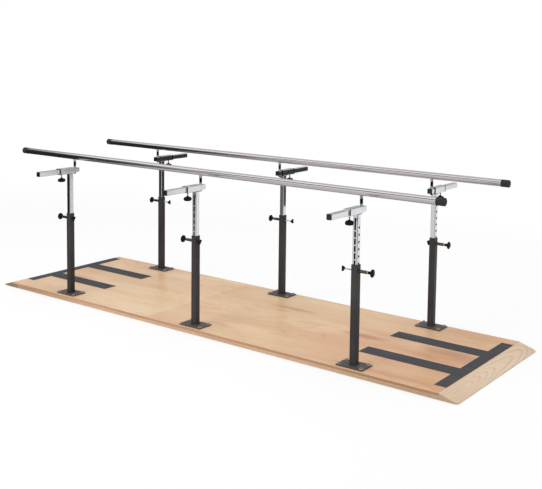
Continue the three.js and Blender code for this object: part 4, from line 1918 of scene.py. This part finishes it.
@dataclass(frozen=True)
class Card:
    """A sheet of card beside the set, which shows in polished metal and nowhere else.

    Attributes:
        name: its name.
        middle: the middle of the card.
        size: its width and its height.
        across: the direction of its width.
        facing: the direction that its front faces.
        shine: how bright its front is, where 1 is white.
        soft: how much of its width fades out at the far end.
        cover: how much it hides of what lies behind it.
    """

    name: str
    middle: Spot
    size: tuple[float, float]
    across: Spot
    facing: Spot
    shine: float
    soft: float = 0.0
    cover: float = 1.0

    def put_up(self) -> None:
        """Makes the card and sets it up."""
        work = Workpiece()
        bmesh.ops.create_grid(work.mesh, x_segments=1, y_segments=1, size=0.5)
        bmesh.ops.scale(work.mesh, vec=(*self.size, 1.0), verts=work.mesh.verts[:])
        card = work.shown(self.name)
        front_way, width_way = Vector(self.facing).normalized(), Vector(self.across).normalized()
        turn = Matrix((width_way, front_way.cross(width_way), front_way)).transposed()
        card.matrix_world = Matrix.Translation(self.middle) @ turn.to_4x4()
        graph = Graph(bpy.data.materials.new(self.name))
        front = (1.0 - graph.node("ShaderNodeNewGeometry", output="Backfacing")) * self.cover
        if self.soft:
            edge = self.size[0] / 2
            front = front * (1.0 - graph.part(Axis.X).band(edge - self.soft, edge))
        clear = graph.node("ShaderNodeBsdfTransparent", {"Color": (1, 1, 1)})
        lit = graph.node("ShaderNodeEmission", {"Color": (self.shine,) * 3, "Strength": 1.0})
        mixed = graph.node("ShaderNodeMixShader", {0: front, 1: clear, 2: lit})
        card.data.materials.append(graph.ended(mixed))
        for kind in ("camera", "diffuse", "transmission", "volume_scatter", "shadow"):
            setattr(card, f"visible_{kind}", False)


@dataclass
class Studio:
    """The pale floor, the lamps, the cards and the camera."""

    floor_reach: float = 45.0
    floor_colour: Colour = (0.86, 0.86, 0.86)
    floor_glow: float = 0.66
    floor_in_metal: float = 0.76
    fade_narrow: float = 0.62
    fade_start: float = 1.9
    fade_end: float = 4.2
    sky: float = 0.75
    aim: Spot = (0.0, 0.0, 0.45)
    camera_place: Spot = (3.4006, -4.2192, 1.6185)
    yaw: float = 0.64763
    pitch: float = 0.09315
    roll: float = 0.01181
    lens: float = 61.354
    sensor: float = 36.0
    shift: float = -0.21125
    cards: tuple[Card, ...] = (
        Card(
            "left_floor_card", (-4.405, -1.142, 0.004), (6.2, 12.0),
            (0.946, -0.324, 0), (0, 0, 1), 0.03, 1.2,
        ),
        Card("left_wall_card", (-5.5, -3.8, 1.9), (8.8, 4.0), (0, -1, 0), (1, 0, 0), 0.035, 3.8),
        Card("left_roof_card", (-6.05, 0, 3.55), (4.3, 8.0), (1, 0, 0), (0, 0, -1), 0.3, 1.3),
        Card("right_floor_card", (3.4, 3.4, 0.005), (4.4, 4.4), (1, 0, 0), (0, 0, 1), 0.95),
        Card("front_gap_card", (1.9, -2.97, 3.31), (10.0, 1.3), (1, 0, 0), (0, 1, -0.93), 0.1),
        Card("front_softbox", (0, -1.4, 3.6), (9.0, 1.4), (1, 0, 0), (0, 0, -1), 1.45),
        Card("roof_card", (0.5, 1.0, 3.62), (12.0, 2.6), (1, 0, 0), (0, 0, -1), 0.72),
        Card("back_card", (0, 5.4, 3.0), (18.0, 5.0), (-1, 0, 0), (0, -1, 0), 0.5),
        Card("deck_card", (0, 0, 0.0358), (3.09, 0.945), (1, 0, 0), (0, 0, 1), 0.42, 0.0, 0.7),
        Card("front_floor_card", (5.0, -5.2, 0.004), (8.0, 7.4), (-1, 0, 0), (0, 0, 1), 0.08, 1.0),
        Card("right_gap_card", (6.0, -0.2, 0.004), (6.0, 2.6), (1, 0, 0), (0, 0, 1), 0.08),
        Card("flag_by_far_middle", (0.35, 1.06, 0.846), (0.88, 0.54), (0, -1, 0), (-1, 0, 0), 0.02),
        Card("flag_by_middle_tube", (0.10, 0.53, 0.656), (0.18, 0.16), (0, -1, 0), (-1, 0, 0), 0.05),
        Card("flag_by_far_left", (-0.70, 0.97, 0.636), (0.84, 0.9), (0, -1, 0), (-1, 0, 0), 0.02),
        Card("flag_by_middle_mast", (-0.108, 0.25, 0.626), (0.13, 0.26), (1, 0, 0), (0, 1, 0), 0.14),
    )

    def build(self) -> None:
        """Sets up the floor, the air, a soft key from the front left, a fill, camera and cards."""
        self._floor()
        self._world()
        self._lamp("key_lamp", (-2.4, -7.0, 6.2), 5.0, 312.0)
        self._lamp("top_lamp", (0.6, 0.8, 6.4), 5.0, 114.0)
        self._camera()
        for card in self.cards:
            card.put_up()
        bpy.context.scene.view_settings.view_transform = "Standard"

    def _floor(self) -> None:
        """A white floor that takes the object's shadow and fades into the backdrop."""
        work = Workpiece()
        bmesh.ops.create_circle(work.mesh, cap_ends=True, segments=64, radius=self.floor_reach)
        floor = work.shown("floor")
        graph = Graph(bpy.data.materials.new("studio_floor"))
        x, y = graph.part(Axis.X) * self.fade_narrow, graph.part(Axis.Y)
        fade = ((x * x + y * y) ** 0.5).band(self.fade_start, self.fade_end)
        seen, mirrored = graph.ray("Camera"), graph.ray("Glossy")
        to_camera = 1.0 - (1.0 - fade * seen) * (1.0 - seen * self.floor_glow)
        share = to_camera * (1.0 - mirrored) + mirrored
        tone = mirrored * (self.floor_in_metal - 1.0) + 1.0
        matt = graph.node("ShaderNodeBsdfDiffuse", {"Color": self.floor_colour})
        glow = graph.node("ShaderNodeEmission", {"Color": (1, 1, 1), "Strength": tone})
        mixed = graph.node("ShaderNodeMixShader", {0: share, 1: matt, 2: glow})
        floor.data.materials.append(graph.ended(mixed))

    def _world(self) -> None:
        """White to the camera and to reflections, and a little less to matt surfaces."""
        graph = Graph(bpy.data.worlds.new("studio_air"))
        seen = graph.ray("Camera").most(graph.ray("Glossy")).most(graph.ray("Transmission"))
        light = {"Color": (1, 1, 1), "Strength": seen * (1.0 - self.sky) + self.sky}
        bpy.context.scene.world = graph.ended(graph.node("ShaderNodeBackground", light))

    def _lamp(self, name: str, place: Sequence[float], size: float, watts: float) -> None:
        """A square soft lamp that faces the middle of the bars.

        Args:
            name: the lamp's name.
            place: where it hangs.
            size: the length of its side.
            watts: its power.
        """
        data = bpy.data.lights.new(name, "AREA")
        data.size = size
        data.energy = watts
        lamp = in_scene(name, data)
        lamp.location = place
        lamp.rotation_euler = (Vector(self.aim) - Vector(place)).to_track_quat("-Z", "Y").to_euler()
        lamp.visible_glossy = False

    def _camera(self) -> None:
        """The camera at the photograph's place, turned and tilted as it was."""
        data = bpy.data.cameras.new("camera")
        data.lens = self.lens
        data.sensor_width = self.sensor
        data.shift_y = self.shift
        camera = in_scene("camera", data)
        level = Vector((math.cos(self.yaw), math.sin(self.yaw), 0.0))
        ahead = Vector((-level.y, level.x, 0.0)) * math.cos(self.pitch)
        forward = ahead - Vector((0.0, 0.0, math.sin(self.pitch)))
        upward = level.cross(forward)
        right = level * math.cos(self.roll) + upward * math.sin(self.roll)
        up = upward * math.cos(self.roll) - level * math.sin(self.roll)
        turn = Matrix((right, up, -forward)).transposed()
        camera.matrix_world = Matrix.Translation(self.camera_place) @ turn.to_4x4()
        bpy.context.scene.camera = camera


def main() -> None:
    """Loads the frame, builds every sub-assembly and sets up the studio."""
    logging.basicConfig(level=logging.INFO, format="%(message)s")
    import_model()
    Studio().build()
    finishes = Finishes(deck_top=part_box("deck_panel")[1].z)
    Platform(finishes).build()
    for side in Side:
        for place in Place:
            station = Station(side, place)
            for kind in (Post, LockPin, HeightClamp, Mast, WidthKnob, Arm):
                kind(station, finishes).build()
        Handrail(side, finishes).build()


if __name__ == "__main__":
    main()
